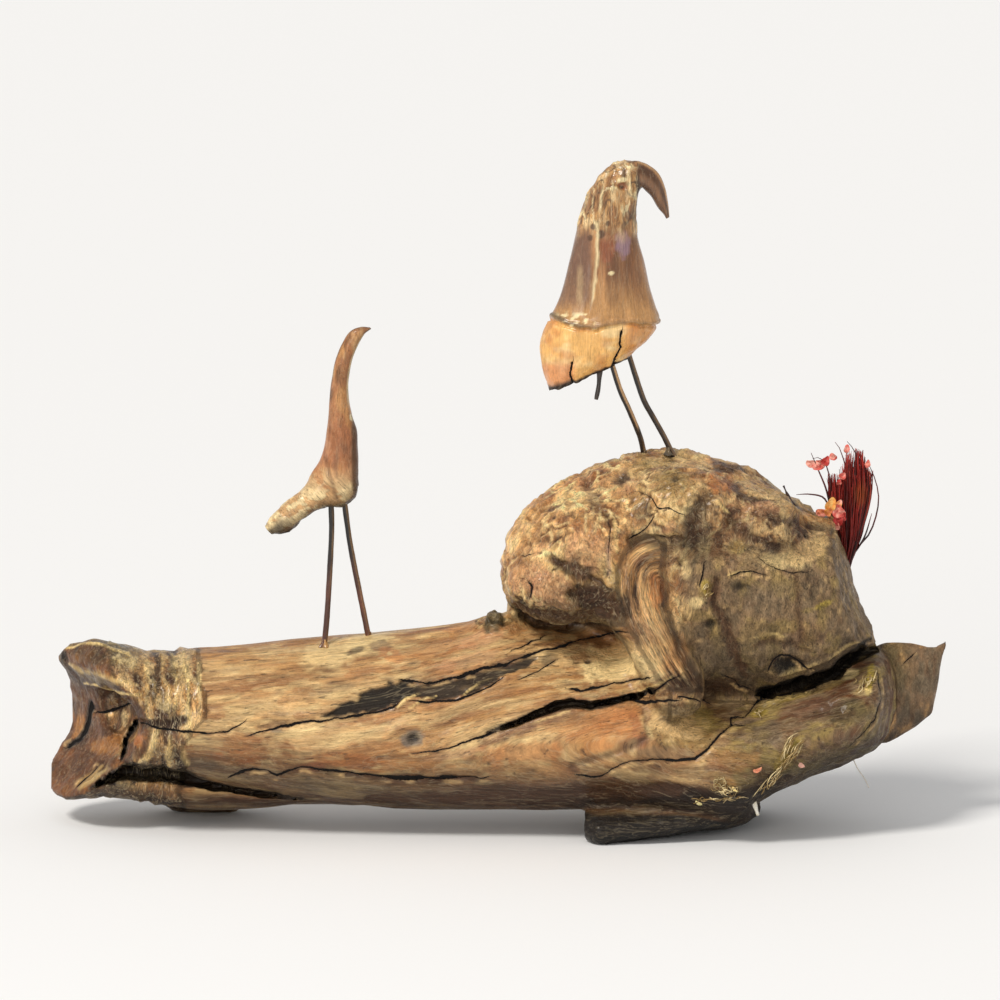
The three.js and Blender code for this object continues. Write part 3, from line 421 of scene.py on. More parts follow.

# Areas of another colour on the front: [s, t, radius s, radius t, slant in degrees, colour, strength].
# Some of them are painted shade or painted highlights, as marked below.
PATCHES = [
    # along the top of the log, left to right
    [-92, 56, 12, 3, 4, "golden", 0.4],
    [-70, 55, 14, 4, 6, "golden", 0.35],
    [-58, 57.6, 9, 5, 10, "cream", 0.55],
    [-44, 62.4, 8, 3, 8, "cream", 0.6],
    [-40, 61.4, 3.6, 1.6, 0, "grey_brown", 0.8],
    [-48.6, 59.6, 3, 0.9, 18, "charred", 0.7],
    [-37, 58.2, 4.4, 2.6, -20, "orange", 0.5],
    [-36.9, 58.7, 0.9, 0.6, 0, "cream", 0.8],
    [-27.5, 30.5, 1.1, 0.6, 20, "cream", 0.6],
    [-78, 48, 16, 1.4, 12, "brown", 0.45],
    [-72, 52.6, 12, 1.1, 12, "brown", 0.35],
    [-66, 44, 12, 1.2, 14, "brown", 0.3],
    [-56, 46, 8, 1, 14, "grey_brown", 0.5],
    [-20, 60.4, 16, 3, 12, "warm_tan", 0.4],
    [-12, 56, 12, 2.2, 14, "pink_tan", 0.4],
    [-6, 63.6, 9, 2.6, 16, "pink_tan", 0.45],
    [-1.8, 69.1, 3.6, 3.8, 0, "olive_dark", 0.9],
    # the middle and the foot of the log
    # a painted grey-blue sheen on the knot pit
    [-29.1, 29.5, 4.0, 3.0, 0, "blue_grey", 0.75],
    [-58, 30, 22, 3.4, 6, "cream", 0.3],
    [-48, 21.4, 15, 2.6, -4, "orange", 0.4],
    [-62, 19.8, 4, 1.6, 0, "red_brown", 0.6],
    [-28, 20, 12, 1.6, 0, "warm_tan", 0.5],
    [-16, 24, 10, 1.6, 8, "pink_tan", 0.5],
    [-88, 22.6, 8, 2.4, 0, "orange", 0.5],
    [-76, 34.2, 5, 1.2, 10, "dark_brown", 0.5],
    [-75, 31.8, 2.6, 1, 0, "grey", 0.7],
    [-62, 38, 7, 1.2, 10, "brown", 0.6],
    [-64, 33.4, 6, 1.2, 8, "cream", 0.5],
    [3, 31, 9, 2.2, 20, "purple_brown", 0.6],
    [16, 36.4, 12, 2.2, 14, "purple_brown", 0.6],
    [17, 56.6, 2.8, 1.8, 15, "charred", 0.55],
    [6, 24, 14, 4, 4, "orange", 0.45],
    [36, 33.6, 15, 6.4, 10, "warm_tan", 0.5],
    [40, 35, 9, 4.4, 10, "orange", 0.35],
    [47, 32, 2, 6, 16, "red_brown", 0.5],
    # a painted glint on the warm patch's right edge
    [50.6, 31.6, 0.9, 2.6, 30, "cream", 0.6],
    [33, 27, 7, 2.2, 12, "warm_tan", 0.6],
    [30, 22.6, 4, 1.6, 4, "brown", 0.55],
    [45, 28, 5, 1.8, 12, "purple_brown", 0.5],
    [62, 33.6, 12.6, 7, -6, "olive", 0.55],
    [60, 34.4, 10, 5, -6, "pale_tan", 0.7],
    [70, 36, 5, 3.6, -30, "moss", 0.3],
    [56, 24.6, 10, 2, 0, "grey_brown", 0.6],
    [84, 56, 16, 7, 0, "grey", 0.55],
    [41, 55, 14, 6.5, 10, "pale_tan", 0.9],
    [38, 53, 12, 4, 10, "cream", 0.75],
    [50, 49.6, 6, 1.2, 18, "cream", 0.6],
    [30, 67, 12, 1.4, 4, "grey_brown", 0.5],
    # between the neck and the fork
    [66, 48, 13, 4.2, 0, "charred", 0.55],
    [71, 57, 8, 6, 0, "grey", 0.6],
    [60, 58, 4, 6, -30, "warm_tan", 0.5],
    [52.6, 80, 2.8, 6.5, 0, "orange", 0.6],
    [55.6, 88, 3.4, 3.6, 0, "brown", 0.6],
    # the block
    [74.1, 115.6, 5, 3.5, 0, "orange", 0.6],
    [88.3, 107.2, 5.5, 3, 0, "pink_tan", 0.6],
    [104.6, 105.5, 8, 2.6, -8, "golden", 0.6],
    [95, 89.4, 9, 2.8, -4, "cream", 0.55],
    [104, 92, 8, 3, 24, "pale_tan", 0.5],
    [80, 94, 3, 2.6, 0, "moss", 0.35],
    [69.4, 80.4, 1.8, 3.2, 10, "moss", 0.75],
    [66.2, 75.4, 2.8, 1.8, 0, "cream", 0.6],
    [66.6, 70.6, 4, 2, 0, "olive", 0.4],
    [109, 74.4, 3.6, 1, 22, "moss", 0.75],
    [104, 72.6, 3, 1, 14, "olive", 0.5],
    [79.5, 81, 2.2, 1.8, 0, "charred", 0.7],
    [72, 80, 2.6, 5, 0, "purple_brown", 0.5],
    [92, 79, 10, 4, 0, "grey", 0.5],
    [82, 66, 8, 3, 6, "grey_brown", 0.5],
    [104, 64, 6, 4, 0, "purple_brown", 0.4],
    [122, 70, 4, 5, -20, "grey_brown", 0.5],
    # painted shade in the hollow at the foot of the block
    [97, 53.8, 5.8, 3.2, -12, "cave", 0.88],
    [92, 55.6, 1.4, 1.6, 0, "near_black", 0.6],
    # the fork
    [87.4, 38.6, 3.6, 1.8, 0, "moss", 0.7],
    [96, 43.4, 9, 1.3, 12, "moss", 0.5],
    [110, 47.4, 7, 1.4, 20, "olive", 0.5],
    [118, 51.4, 2.6, 1.6, 20, "cream", 0.6],
    [124.6, 49.6, 1.4, 5.4, -8, "moss", 0.85],
    [122, 45.4, 3.4, 1.4, 0, "cream", 0.5],
    [118, 38.4, 7.4, 4.4, 6, "olive_dark", 0.7],
    [104, 39.6, 9, 3.2, 8, "purple_brown", 0.6],
    [90, 31.6, 5, 4.6, 0, "grey", 0.6],
    [84, 35, 3, 2, 0, "charred", 0.4],
    [97.6, 24, 2.6, 7, -36, "moss", 0.55],
    [75.6, 13.4, 4, 3, 0, "golden", 0.5],
    [108, 26, 12, 3.6, 16, "purple_brown", 0.4],
    [98, 14.6, 8, 1.8, 16, "dark_brown", 0.6],
    [78, 22, 10, 4.6, 0, "brown", 0.5],
    [62, 18.8, 16, 3, -3, "umber", 0.5],
    [129.4, 40, 1.6, 12, -6, "dark_brown", 0.6],
    # the burl
    [9, 84, 7, 6, 0, "pink_tan", 0.65],
    [17, 80, 8, 6, 0, "pink_tan", 0.6],
    [28, 93, 8, 9, 0, "pink_tan", 0.5],
    [6, 95, 6, 10, 0, "golden", 0.35],
    [10, 104, 9, 6, 40, "golden", 0.4],
    [18.6, 89.4, 2, 2, 0, "purple_brown", 0.8],
    [22.4, 85.8, 3, 1.2, -35, "olive_dark", 0.75],
    [10.5, 79.2, 1, 2.8, -16, "red_brown", 0.85],
    [9.6, 77.6, 1.4, 1.6, 0, "dark_brown", 0.7],
    [24.6, 76.6, 2.4, 2.2, 0, "olive", 0.6],
    [42, 88, 4, 9, 0, "golden", 0.4],
    [38.6, 84, 1.8, 6, 0, "olive", 0.5],
    [40.6, 117.2, 3.6, 2.2, 0, "purple_brown", 0.8],
    [28, 117, 3, 1.4, 20, "salmon", 0.5],
    [36.8, 90, 1, 6, 0, "violet", 0.35],
    [58, 116, 8, 5, 0, "olive", 0.55],
    [52, 122.6, 7, 1.6, 6, "olive", 0.5],
    [57, 100.6, 3, 2, 40, "pink_tan", 0.5],
    [48.2, 106, 3.4, 3.6, 0, "charred", 0.6],
    [66, 101, 5, 9, 0, "charred", 0.6],
    [78, 100, 6, 6, 0, "dark_brown", 0.4],
    [30.6, 101.4, 6, 2.4, 0, "brown", 0.5],
    # painted shade under the nose and the brow
    [32, 75.6, 7, 4.6, -14, "dark_brown", 0.85],
    [36, 74, 4, 2.4, -8, "cave", 0.6],
    [16, 70.4, 9, 1.6, -4, "dark_brown", 0.8],
    [7, 73, 2.4, 2.2, -40, "near_black", 0.95],
    # the broken end
    [-140.6, 45, 4, 8, 0, "purple_brown", 0.7],
    [-130, 41.6, 9, 3.4, -6, "purple_brown", 0.6],
    [-130, 34, 6, 3.4, 0, "dark_brown", 0.6],
    [-138.4, 56.6, 8, 2.6, -10, "olive_dark", 0.45],
    [-128, 53, 6, 1.8, -10, "purple_brown", 0.45],
    # a painted highlight along the upper lip's facet
    [-134, 49.8, 9, 1.8, -16, "cream", 0.55],
    [-147, 56.8, 2, 2.4, 0, "near_black", 0.9],
    [-141.6, 33, 1.8, 4.6, -8, "golden", 0.7],
    [-147, 14.4, 6, 5, 40, "brown", 0.6],
    [-149, 18, 4, 5, 30, "dark_brown", 0.5],
    [-141, 20, 8, 4.6, 40, "dark_brown", 0.4],
    # a painted highlight on the lower lip's rim
    [-138.6, 16.4, 5.4, 1.3, 38, "cream", 0.5],
    [-133, 26.6, 5, 3.4, 0, "golden", 0.5],
    [-127, 29, 3, 5, -20, "golden", 0.4],
    # the wrinkled collar, with painted highlights on its ridges and painted shade in its hollows
    [-115.2, 50, 1.3, 8, -10, "olive_dark", 0.7],
    [-107.6, 52, 3.4, 3, 0, "olive", 0.5],
    [-104.8, 37, 0.9, 12, 0, "cream", 0.75],
    [-101, 51, 0.8, 7, 0, "cream", 0.6],
    [-108, 55.4, 3, 2.6, 0, "cream", 0.55],
    [-112.6, 41.4, 2.4, 3, 0, "cream", 0.5],
    [-118, 53.6, 2, 2.4, 0, "cream", 0.5],
    [-109.4, 34.8, 4.6, 2, 14, "cave", 0.9],
    [-117.6, 34.4, 2.2, 1.4, 0, "near_black", 0.85],
    [-116, 28.6, 1.2, 3.8, 0, "cream", 0.75],
    [-109, 29, 4, 2, 0, "purple_brown", 0.65],
    [-121.4, 29.4, 1.8, 2, 0, "salmon", 0.5],
    [-120.6, 31.6, 2, 1.2, 0, "dark_brown", 0.6],
    [-111, 24, 2.4, 2.4, 0, "cream", 0.45],
    [-100, 20.4, 7, 2, -10, "grey_brown", 0.6],
    [-118, 12.4, 18, 1.8, 0, "warm_tan", 0.2],
    [-112, 9, 26, 2.6, -4, "dark_brown", 0.5],
    # painted shade along the underside
    [8, 9.4, 44, 2.6, 2, "dark_brown", 0.7],
    [30, 9, 30, 3, 2, "cave", 0.6],
    [-86, 8.4, 20, 1.8, -4, "dark_brown", 0.6],
    [62, 11.6, 8, 2, -4, "dark_brown", 0.8],
]


def smoothly(low, high, value):
    """0 below low, 1 above high and smooth between."""
    share = np.clip((value - low) / (high - low), 0, 1)
    return share * share * (3 - 2 * share)


def mix(a, b, share):
    return a + (b - a) * share


def linear(colour):
    """A colour as it looks on a screen, 0 to 255, as light."""
    share = np.array(colour, float) / 255
    return np.where(share <= 0.04045, share / 12.92, ((share + 0.055) / 1.055) ** 2.4)


def up_the_front(y, z):
    return z * math.cos(VIEW_TILT) + y * math.sin(VIEW_TILT)


def height_at(t, y):
    """The z of a point with this y that lies t up the front."""
    return (t - y * math.sin(VIEW_TILT)) / math.cos(VIEW_TILT)


# Noise with no state, so that every run gives the same wood.
def lattice(corner, seed):
    h = corner[..., 0] * 374761393 + corner[..., 1] * 668265263 + corner[..., 2] * 2246822519
    h = (h + seed * 3266489917) & 0xFFFFFFFF
    h = ((h ^ (h >> 15)) * 2246822519) & 0xFFFFFFFF
    h = ((h ^ (h >> 13)) * 3266489917) & 0xFFFFFFFF
    return (h ^ (h >> 16)) / 2147483647.5 - 1


# The eight corners of a cell, in the order of their bits.
CORNERS = np.array([[corner & 1, corner >> 1 & 1, corner >> 2] for corner in range(8)])


def noise(points, size, seed=0):
    """Smooth noise from -1 to 1, in blobs of the given size along each axis."""
    scaled = points / np.array(size, float) + seed * 7.31
    base = np.floor(scaled).astype(np.int64)
    share = scaled - base
    share = share * share * (3 - 2 * share)
    total = np.zeros(len(points))
    for offset in CORNERS:
        weight = np.prod(np.where(offset, share, 1 - share), axis=1)
        total += weight * lattice(base + offset, seed)
    return total


def octaves(points, size, seed, count, form):
    """A sum of noises, each half the size and half as strong as the one before it."""
    size = np.array(size, float)
    total, strength = np.zeros(len(points)), 1.0
    for octave in range(count):
        total += strength * form(noise(points, size / 2 ** octave, seed + octave))
        strength *= 0.5
    return total


def rough(points, size, seed=0, count=3):
    """Noise with ever finer noise on it."""
    return octaves(points, size, seed, count, np.positive) / (2 - 2 ** (1 - count))


def billows(points, size, seed=0, count=2):
    """Rounded knobs with sharp valleys between them, from 0 to about 1."""
    return octaves(points, size, seed, count, np.abs)


def smooth_rows(rows):
    """A smooth curve through table rows, one array for each column after the first, at x."""
    table = np.array(rows, float)
    at, values = table[:, 0], table[:, 1:]
    low = np.maximum(np.arange(len(at)) - 1, 0)
    high = np.minimum(np.arange(len(at)) + 1, len(at) - 1)
    slopes = (values[high] - values[low]) / (at[high] - at[low])[:, None]

    def curve(x):
        x = np.clip(x, at[0], at[-1])
        i = np.clip(np.searchsorted(at, x) - 1, 0, len(at) - 2)
        h = at[i + 1] - at[i]
        u = (x - at[i]) / h
        near = 2 * u ** 3 - 3 * u ** 2 + 1
        columns = []
        for c in range(values.shape[1]):
            columns.append(
                near * values[i, c] + (u ** 3 - 2 * u ** 2 + u) * h * slopes[i, c]
                + (1 - near) * values[i + 1, c] + (u ** 3 - u ** 2) * h * slopes[i + 1, c]
            )
        return columns

    return curve


def outside_ellipse(offsets, radii):
    """How far a point is outside an ellipse or ellipsoid round the origin, along its own ray."""
    length = np.sqrt(sum(o * o for o in offsets))
    share = np.sqrt(sum((o / r) ** 2 for o, r in zip(offsets, radii)))
    smallest = radii[0]
    for r in radii[1:]:
        smallest = np.minimum(smallest, r)
    return np.where(share < 1e-3, -smallest, length * (1 - 1 / np.maximum(share, 1e-3)))


class Limb:
    """A limb of wood along X, as a distance field."""

    def __init__(self, rows):
        self.section = smooth_rows(rows)
        self.first, self.last = rows[0][0], rows[-1][0]

    def reaches(self, low, high):
        return self.first - BLEND < high and low < self.last + BLEND

    def field(self, x, y, z):
        low, high, near, far = self.section(x)
        radii = (np.maximum((far - near) / 2, 0.5), np.maximum((high - low) / 2, 0.5))
        across = outside_ellipse((y - (near + far) / 2, z - (low + high) / 2), radii)
        past = np.abs(x - np.clip(x, self.first, self.last))
        return np.where(past > 0, np.hypot(past, np.maximum(across, 0)), across)


class Lump:
    def __init__(self, row):
        self.centre, self.radii = row[:3], row[3:]

    def reaches(self, low, high):
        x, r = self.centre[0], self.radii[0] + BLEND
        return x - r < high and low < x + r

    def field(self, x, y, z):
        cx, cy, cz = self.centre
        return outside_ellipse((x - cx, y - cy, z - cz), self.radii)


def join(a, b, blend):
    h = np.maximum(blend - np.abs(a - b), 0) / blend
    return np.minimum(a, b) - h * h * blend / 4


def hollow(a, b, blend):
    return -join(-a, b, blend)


LOG_PARTS = [Limb(rows) for rows in (TRUNK, FORK, BELLY, BACK_ROOT, HEEL)]
FOOT_PART = Limb(FOOT)
CROWN_PARTS = [Limb(CROWN)] + [Lump(row) for row in LUMPS]
FIN_PART = Limb(FIN)
stands_out = smooth_rows(BREAK_PROFILE)


NO_WOOD = 50.0  # the field's value far from every part
FIN_BLEND = 1.5
RIM_BLEND = 3
THROAT_BLEND = 2
BROKEN_END_LAST_X = -100


def past_rim(x, y):
    """How far a point lies past the rim of the broken end, along BREAK_NORMAL."""
    ux, uy = BREAK_NORMAL
    return (x - BREAK_RIM[0]) * ux + (y - BREAK_RIM[1]) * uy


def broken_end(d, x, y, z):
    ux, uy = BREAK_NORMAL
    reach = stands_out(z)[0]
    cx, cy, cz = THROAT_CENTRE
    turned = ((x - cx) * ux + (y - cy) * uy, (y - cy) * ux - (x - cx) * uy, z - cz)
    cut_off = hollow(d, reach - past_rim(x, y), RIM_BLEND)
    return hollow(cut_off, outside_ellipse(turned, THROAT_RADIUS), THROAT_BLEND)


def driftwood_field(x, y, z):
    """Negative inside the driftwood and positive outside it."""
    low, high = np.min(x), np.max(x)
    d = np.full(np.broadcast_shapes(np.shape(x), np.shape(y), np.shape(z)), NO_WOOD)
    for part in [*LOG_PARTS, FOOT_PART, *CROWN_PARTS]:
        if part.reaches(low, high):
            d = join(d, part.field(x, y, z), BLEND)
    if FIN_PART.reaches(low, high):
        d = join(d, FIN_PART.field(x, y, z), FIN_BLEND)
    if low < BROKEN_END_LAST_X:
        d = broken_end(d, x, y, z)
    return d


def along_line(s, t, points):
    """Distance to a line of points [s, t, half width], on which side, and the half width there."""
    shape = np.broadcast_shapes(np.shape(s), np.shape(t))
    best, side, width = np.full(shape, 1e3), np.ones(shape), np.zeros(shape)
    for (s0, t0, w0), (s1, t1, w1) in zip(points, points[1:]):
        ds, dt = s1 - s0, t1 - t0
        share = np.clip(((s - s0) * ds + (t - t0) * dt) / (ds * ds + dt * dt), 0, 1)
        off_s, off_t = s - s0 - share * ds, t - t0 - share * dt
        distance = np.hypot(off_s, off_t)
        nearer = distance < best
        best = np.where(nearer, distance, best)
        side = np.where(nearer, np.sign(ds * off_t - dt * off_s), side)
        width = np.where(nearer, mix(w0, w1, share), width)
    return best, side, width


FRONT_HALF = 4.0  # the clefts on the front stop at this y


def carve(values, axes):
    """Cuts each cleft into the front, with ragged sides that close slowly with its depth."""
    for points, depth in CLEFTS.values():
        table = np.array(points)
        margin = table[:, 2].max() + 2
        reach_t = np.array([table[:, 1].min() - margin, table[:, 1].max() + margin])
        reach_z = height_at(reach_t, np.array([FRONT_HALF, axes[1][0]]))
        i = (axes[0] > table[:, 0].min() - margin) & (axes[0] < table[:, 0].max() + margin)
        j = axes[1] < FRONT_HALF
        k = (axes[2] > reach_z[0]) & (axes[2] < reach_z[1])
        block = np.ix_(i, j, k)
        x, y, z = np.meshgrid(axes[0][i], axes[1][j], axes[2][k], indexing="ij")
        place = np.stack([x.ravel(), y.ravel(), z.ravel()], axis=1)
        warp = 0.5 * noise(place, (3.4, 9, 2.4), 17) + 0.3 * noise(place, (1.7, 6, 1.4), 18)
        distance, _, half = along_line(x, up_the_front(y, z) + warp.reshape(x.shape), points)
        inside = values[block]
        narrowing = half * (1 + 0.6 * np.clip(inside / depth, -1, 0))
        cut = np.minimum(narrowing - distance, inside + depth)
        values[block] = np.maximum(inside, cut)
    return values


FILL_ROUNDS = 6
JUST_INSIDE = -0.2  # what a filled corner is set to, in cells


def fill_creases(values, cell):
    """Fills outside corners where the wood would touch itself only along an edge of the grid."""
    squares = [(0, 1, 3, 2), (4, 5, 7, 6), (0, 1, 5, 4), (2, 3, 7, 6), (0, 2, 6, 4), (1, 3, 7, 5)]
    for _ in range(FILL_ROUNDS):
        cells, corners = crossed_cells(values)
        wood = corners < 0
        count = wood.sum(axis=1)
        faulty = np.zeros(len(cells), bool)
        for a, b, c, d in squares:
            faulty |= (wood[:, a] == wood[:, c]) & (wood[:, b] == wood[:, d]) & (wood[:, a] != wood[:, b])
        for c in range(4):
            faulty |= (count == 2) & wood[:, c] & wood[:, 7 - c]
            faulty |= (count == 6) & ~wood[:, c] & ~wood[:, 7 - c]
        if not faulty.any():
            break
        outside = np.where(wood[faulty], np.inf, corners[faulty])
        i, j, k = (cells[faulty] + CORNERS[outside.argmin(axis=1)]).T
        values[i, j, k] = JUST_INSIDE * cell
    return values


def crossed_cells(values):
    """The grid cells that the surface crosses, and the values at each one's eight corners."""
    wood = values < 0
    count = np.zeros([n - 1 for n in values.shape], np.int8)
    nx, ny, nz = count.shape
    for dx, dy, dz in CORNERS:
        count += wood[dx:dx + nx, dy:dy + ny, dz:dz + nz]
    cells = np.argwhere((count > 0) & (count < 8))
    corners = np.stack([values[tuple((cells + corner).T)] for corner in CORNERS], axis=1)
    return cells, corners


def surface_nets(values, low, cell):
    """One vertex in each cell that the surface crosses, and a square face for each crossed edge."""
    cells, corners = crossed_cells(values)
    total, crossings = np.zeros((len(cells), 3)), np.zeros(len(cells))
    for a in range(8):
        for axis in range(3):
            if a >> axis & 1:
                continue
            b = a | 1 << axis
            va, vb = corners[:, a], corners[:, b]
            crossed = (va < 0) != (vb < 0)
            at = np.tile(CORNERS[a], (len(cells), 1)).astype(float)
            at[:, axis] += np.where(crossed, va / np.where(crossed, va - vb, 1), 0)
            total += at * crossed[:, None]
            crossings += crossed
    points = low + cell * (cells + total / crossings[:, None])

    index = np.full([n - 1 for n in values.shape], -1, np.int64)
    index[tuple(cells.T)] = np.arange(len(cells))
    wood = values < 0
    faces = []
    for axis in range(3):
        p, q = (axis + 1) % 3, (axis + 2) % 3
        start = [slice(1, -1)] * 3
        start[axis] = slice(0, -1)
        end = list(start)
        end[axis] = slice(1, None)
        first, second = wood[tuple(start)], wood[tuple(end)]
        edges = np.argwhere(first != second) + np.array([s.start for s in start])
        inside = wood[tuple(edges.T)]
        ring = []
        for a, b in ((0, 0), (1, 0), (1, 1), (0, 1)):
            cell_of = edges.copy()
            cell_of[:, p] -= a
            cell_of[:, q] -= b
            ring.append(index[tuple(cell_of.T)])
        ring = np.stack(ring, axis=1)
        ring[~inside] = ring[~inside][:, ::-1]
        faces.append(ring)
    return points, np.concatenate(faces)


def new_mesh(name, points, faces):
    """A mesh from points in millimetres and faces that all have the same number of corners."""
    faces = np.asarray(faces)
    mesh = bpy.data.meshes.new(name)
    mesh.vertices.add(len(points))
    mesh.vertices.foreach_set("co", ((np.asarray(points) + SHIFT) * MM).ravel())
    mesh.loops.add(faces.size)
    mesh.loops.foreach_set("vertex_index", faces.ravel().astype(np.int32))
    mesh.polygons.add(len(faces))
    mesh.polygons.foreach_set("loop_start", np.arange(0, faces.size, faces.shape[1], dtype=np.int32))
    mesh.update(calc_edges=True)
    mesh.validate()
    mesh.shade_smooth()
    return mesh


def new_object(name, data):
    thing = bpy.data.objects.new(name, data)
    bpy.context.scene.collection.objects.link(thing)
    return thing


def new_piece(mesh, slot, material, *replaced):
    piece = new_object(mesh.name, mesh)
    mesh.materials.append(material)
    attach(piece, "root")
    if replaced:
        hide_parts(*replaced)
    return piece


def normals_of(mesh):
    normals = np.zeros(len(mesh.vertices) * 3, np.float32)
    mesh.vertex_normals.foreach_get("vector", normals)
    return normals.reshape(-1, 3).astype(float)


def points_of(mesh):
    points = np.zeros(len(mesh.vertices) * 3, np.float32)
    mesh.vertices.foreach_get("co", points)
    return points.reshape(-1, 3) / MM - SHIFT


def set_points(mesh, points):
    mesh.vertices.foreach_set("co", ((points + SHIFT) * MM).astype(np.float32).ravel())
    mesh.update()


def set_paint(mesh, colours, roughness):
    """Sets each vertex's colour, and its roughness, which may be one number for all."""
    layer = mesh.attributes.new("paint", "FLOAT_COLOR", "POINT")
    rows = np.empty((len(mesh.vertices), 4), np.float32)
    rows[:, :3] = np.clip(colours, 0, 1)
    rows[:, 3] = np.ravel(roughness)
    layer.data.foreach_set("color", rows.ravel())


def set_vector(mesh, name, vectors):
    layer = mesh.attributes.new(name, "FLOAT_VECTOR", "POINT")
    layer.data.foreach_set("vector", vectors.astype(np.float32).ravel())


# The driftwood's surface.
GRID_LOW = np.array([-153.0, -40.0, -2.4])
GRID_HIGH = np.array([154.0, 44.0, 132.0])
SLAB = 24  # layers of the grid that are worked out together
UNDERSIDE = 0.02  # the height at which the wood is cut flat below


def wood_grid():
    axes = [np.arange(a, b, CELL) for a, b in zip(GRID_LOW, GRID_HIGH)]
    values = np.empty([len(a) for a in axes], np.float32)
    y = axes[1][None, :, None]
    z = axes[2][None, None, :]
    for first in range(0, len(axes[0]), SLAB):
        x = axes[0][first:first + SLAB][:, None, None]
        values[first:first + SLAB] = driftwood_field(x, y, z)
    values = carve(values, axes)
    values = np.maximum(values, (UNDERSIDE - z).astype(np.float32))
    return fill_creases(values, CELL)


# The hair-like ridges of the neck: the left-most one's [t, s], and the s and t round which all of
# them bend at the top.
NECK_FLOW = [
    [40, 61], [45.7, 56.8], [54, 51], [62.5, 46.4], [70, 42.6], [78, 40.4], [85, 40.6], [92, 43.6],
    [98, 49],
]
NECK_ARCH = [53.5, 83]


class Zones:
    """Which part of the wood each vertex belongs to, as shares from 0 to 1."""

    def __init__(self, points, normals):
        x, y, z = points.T
        self.points, self.normals = points, normals
        self.s, self.t = x, up_the_front(y, z)
        self.front = smoothly(-0.05, 0.3, normals @ TOWARDS_VIEWER)
        log = self.nearest(LOG_PARTS, x, y, z)
        crown = self.nearest(CROWN_PARTS, x, y, z)
        foot = FOOT_PART.field(x, y, z)
        fin = FIN_PART.field(x, y, z)
        ragged = 2 * rough(points, 6, 15)
        self.crown = smoothly(-2.5, 2.5, log - crown + ragged)
        self.foot = smoothly(-1.5, 1.5, log - foot) * smoothly(12, 8.5, z)
        self.fin = smoothly(126, 131, x) * smoothly(3, 0, np.abs(fin))
        self.crown *= 1 - smoothly(70, 65, self.t) * smoothly(60, 54, self.s) * self.front
        block = smoothly(58, 66, x + 2 * ragged) * smoothly(104, 94, z + 2 * ragged)
        self.block = self.crown * block
        self.end = smoothly(1.6, 0.2, np.abs(stands_out(z)[0] - past_rim(x, y)))
        self.end *= smoothly(-108, -114, x)
        inward = outside_ellipse(
            (x - THROAT_CENTRE[0], y - THROAT_CENTRE[1], z - THROAT_CENTRE[2]), THROAT_RADIUS)
        self.end = np.maximum(self.end, smoothly(2, 0.5, np.abs(inward)) * smoothly(-116, -120, x))
        low_edge = 6 * smoothly(35, 26, self.t)
        self.collar = smoothly(-98, -103, x + low_edge + 1.5 * ragged) * (1 - self.end)
        lean = smooth_rows(NECK_FLOW)(np.minimum(self.t, NECK_ARCH[1]))[0]
        rise = np.maximum(self.t - NECK_ARCH[1], 0)
        self.flow = NECK_ARCH[0] - lean - np.hypot(self.s - NECK_ARCH[0], rise)
        self.flow = np.where(rise > 0, self.flow, self.s - lean)
        self.neck = (smoothly(-5, 3, self.flow + ragged) * smoothly(21, 9, self.s - lean + ragged)
                     * smoothly(42, 49, self.t) * smoothly(-12, -18, y))
        self.strands = np.stack([self.flow + 0.7 * noise(points, (5, 5, 9), 16), y, self.t], axis=1)
        self.grain = self.along_log()
        self.wobble = 0.45 * noise(points, 2.6, 91) + 0.3 * noise(points, 6, 93)
        self.knobs = points + 4 * np.stack([rough(points, 14, seed) for seed in (11, 12, 13)], axis=1)

    @staticmethod
    def nearest(parts, x, y, z):
        return np.min([part.field(x, y, z) for part in parts], axis=0)

    def along_log(self):
        """Coordinates in which the log's grain runs along the first axis."""
        x, y, z = self.points.T
        rise = 0.15 * (x + 45 + np.hypot(x + 45, 40)) * smoothly(12, 40, z)
        twist = noise(self.points, (26, 12, 12), 3) * 1.8 + noise(self.points, (9, 6, 6), 4) * 0.5
        return np.stack([x, y, z - rise + twist], axis=1)

    def mixed(self, log, burl, block, neck, collar, end, foot, fin):
        """One value for each vertex out of the values that hold for each kind of wood."""
        def share(of):
            return of if np.ndim(log) == 1 else of[:, None]

        crown = mix(burl, block, share(self.block / np.maximum(self.crown, 1e-3)))
        value = mix(log, crown, share(self.crown))
        where = (self.collar, self.end, self.neck, self.foot, self.fin)
        for kind, place in zip((collar, end, neck, foot, fin), where):
            value = mix(value, kind, share(place))
        return value


def bark_height(points, size, seed):
    """Flaky layers: flat tops with ragged, steeper edges."""
    value = rough(points, size, seed, 3)
    return smoothly(-0.28, -0.1, value) + 0.8 * smoothly(0.05, 0.2, value)


STUB = (-1.8, 69.1)  # the s and t of a short round stub with a dent in its top


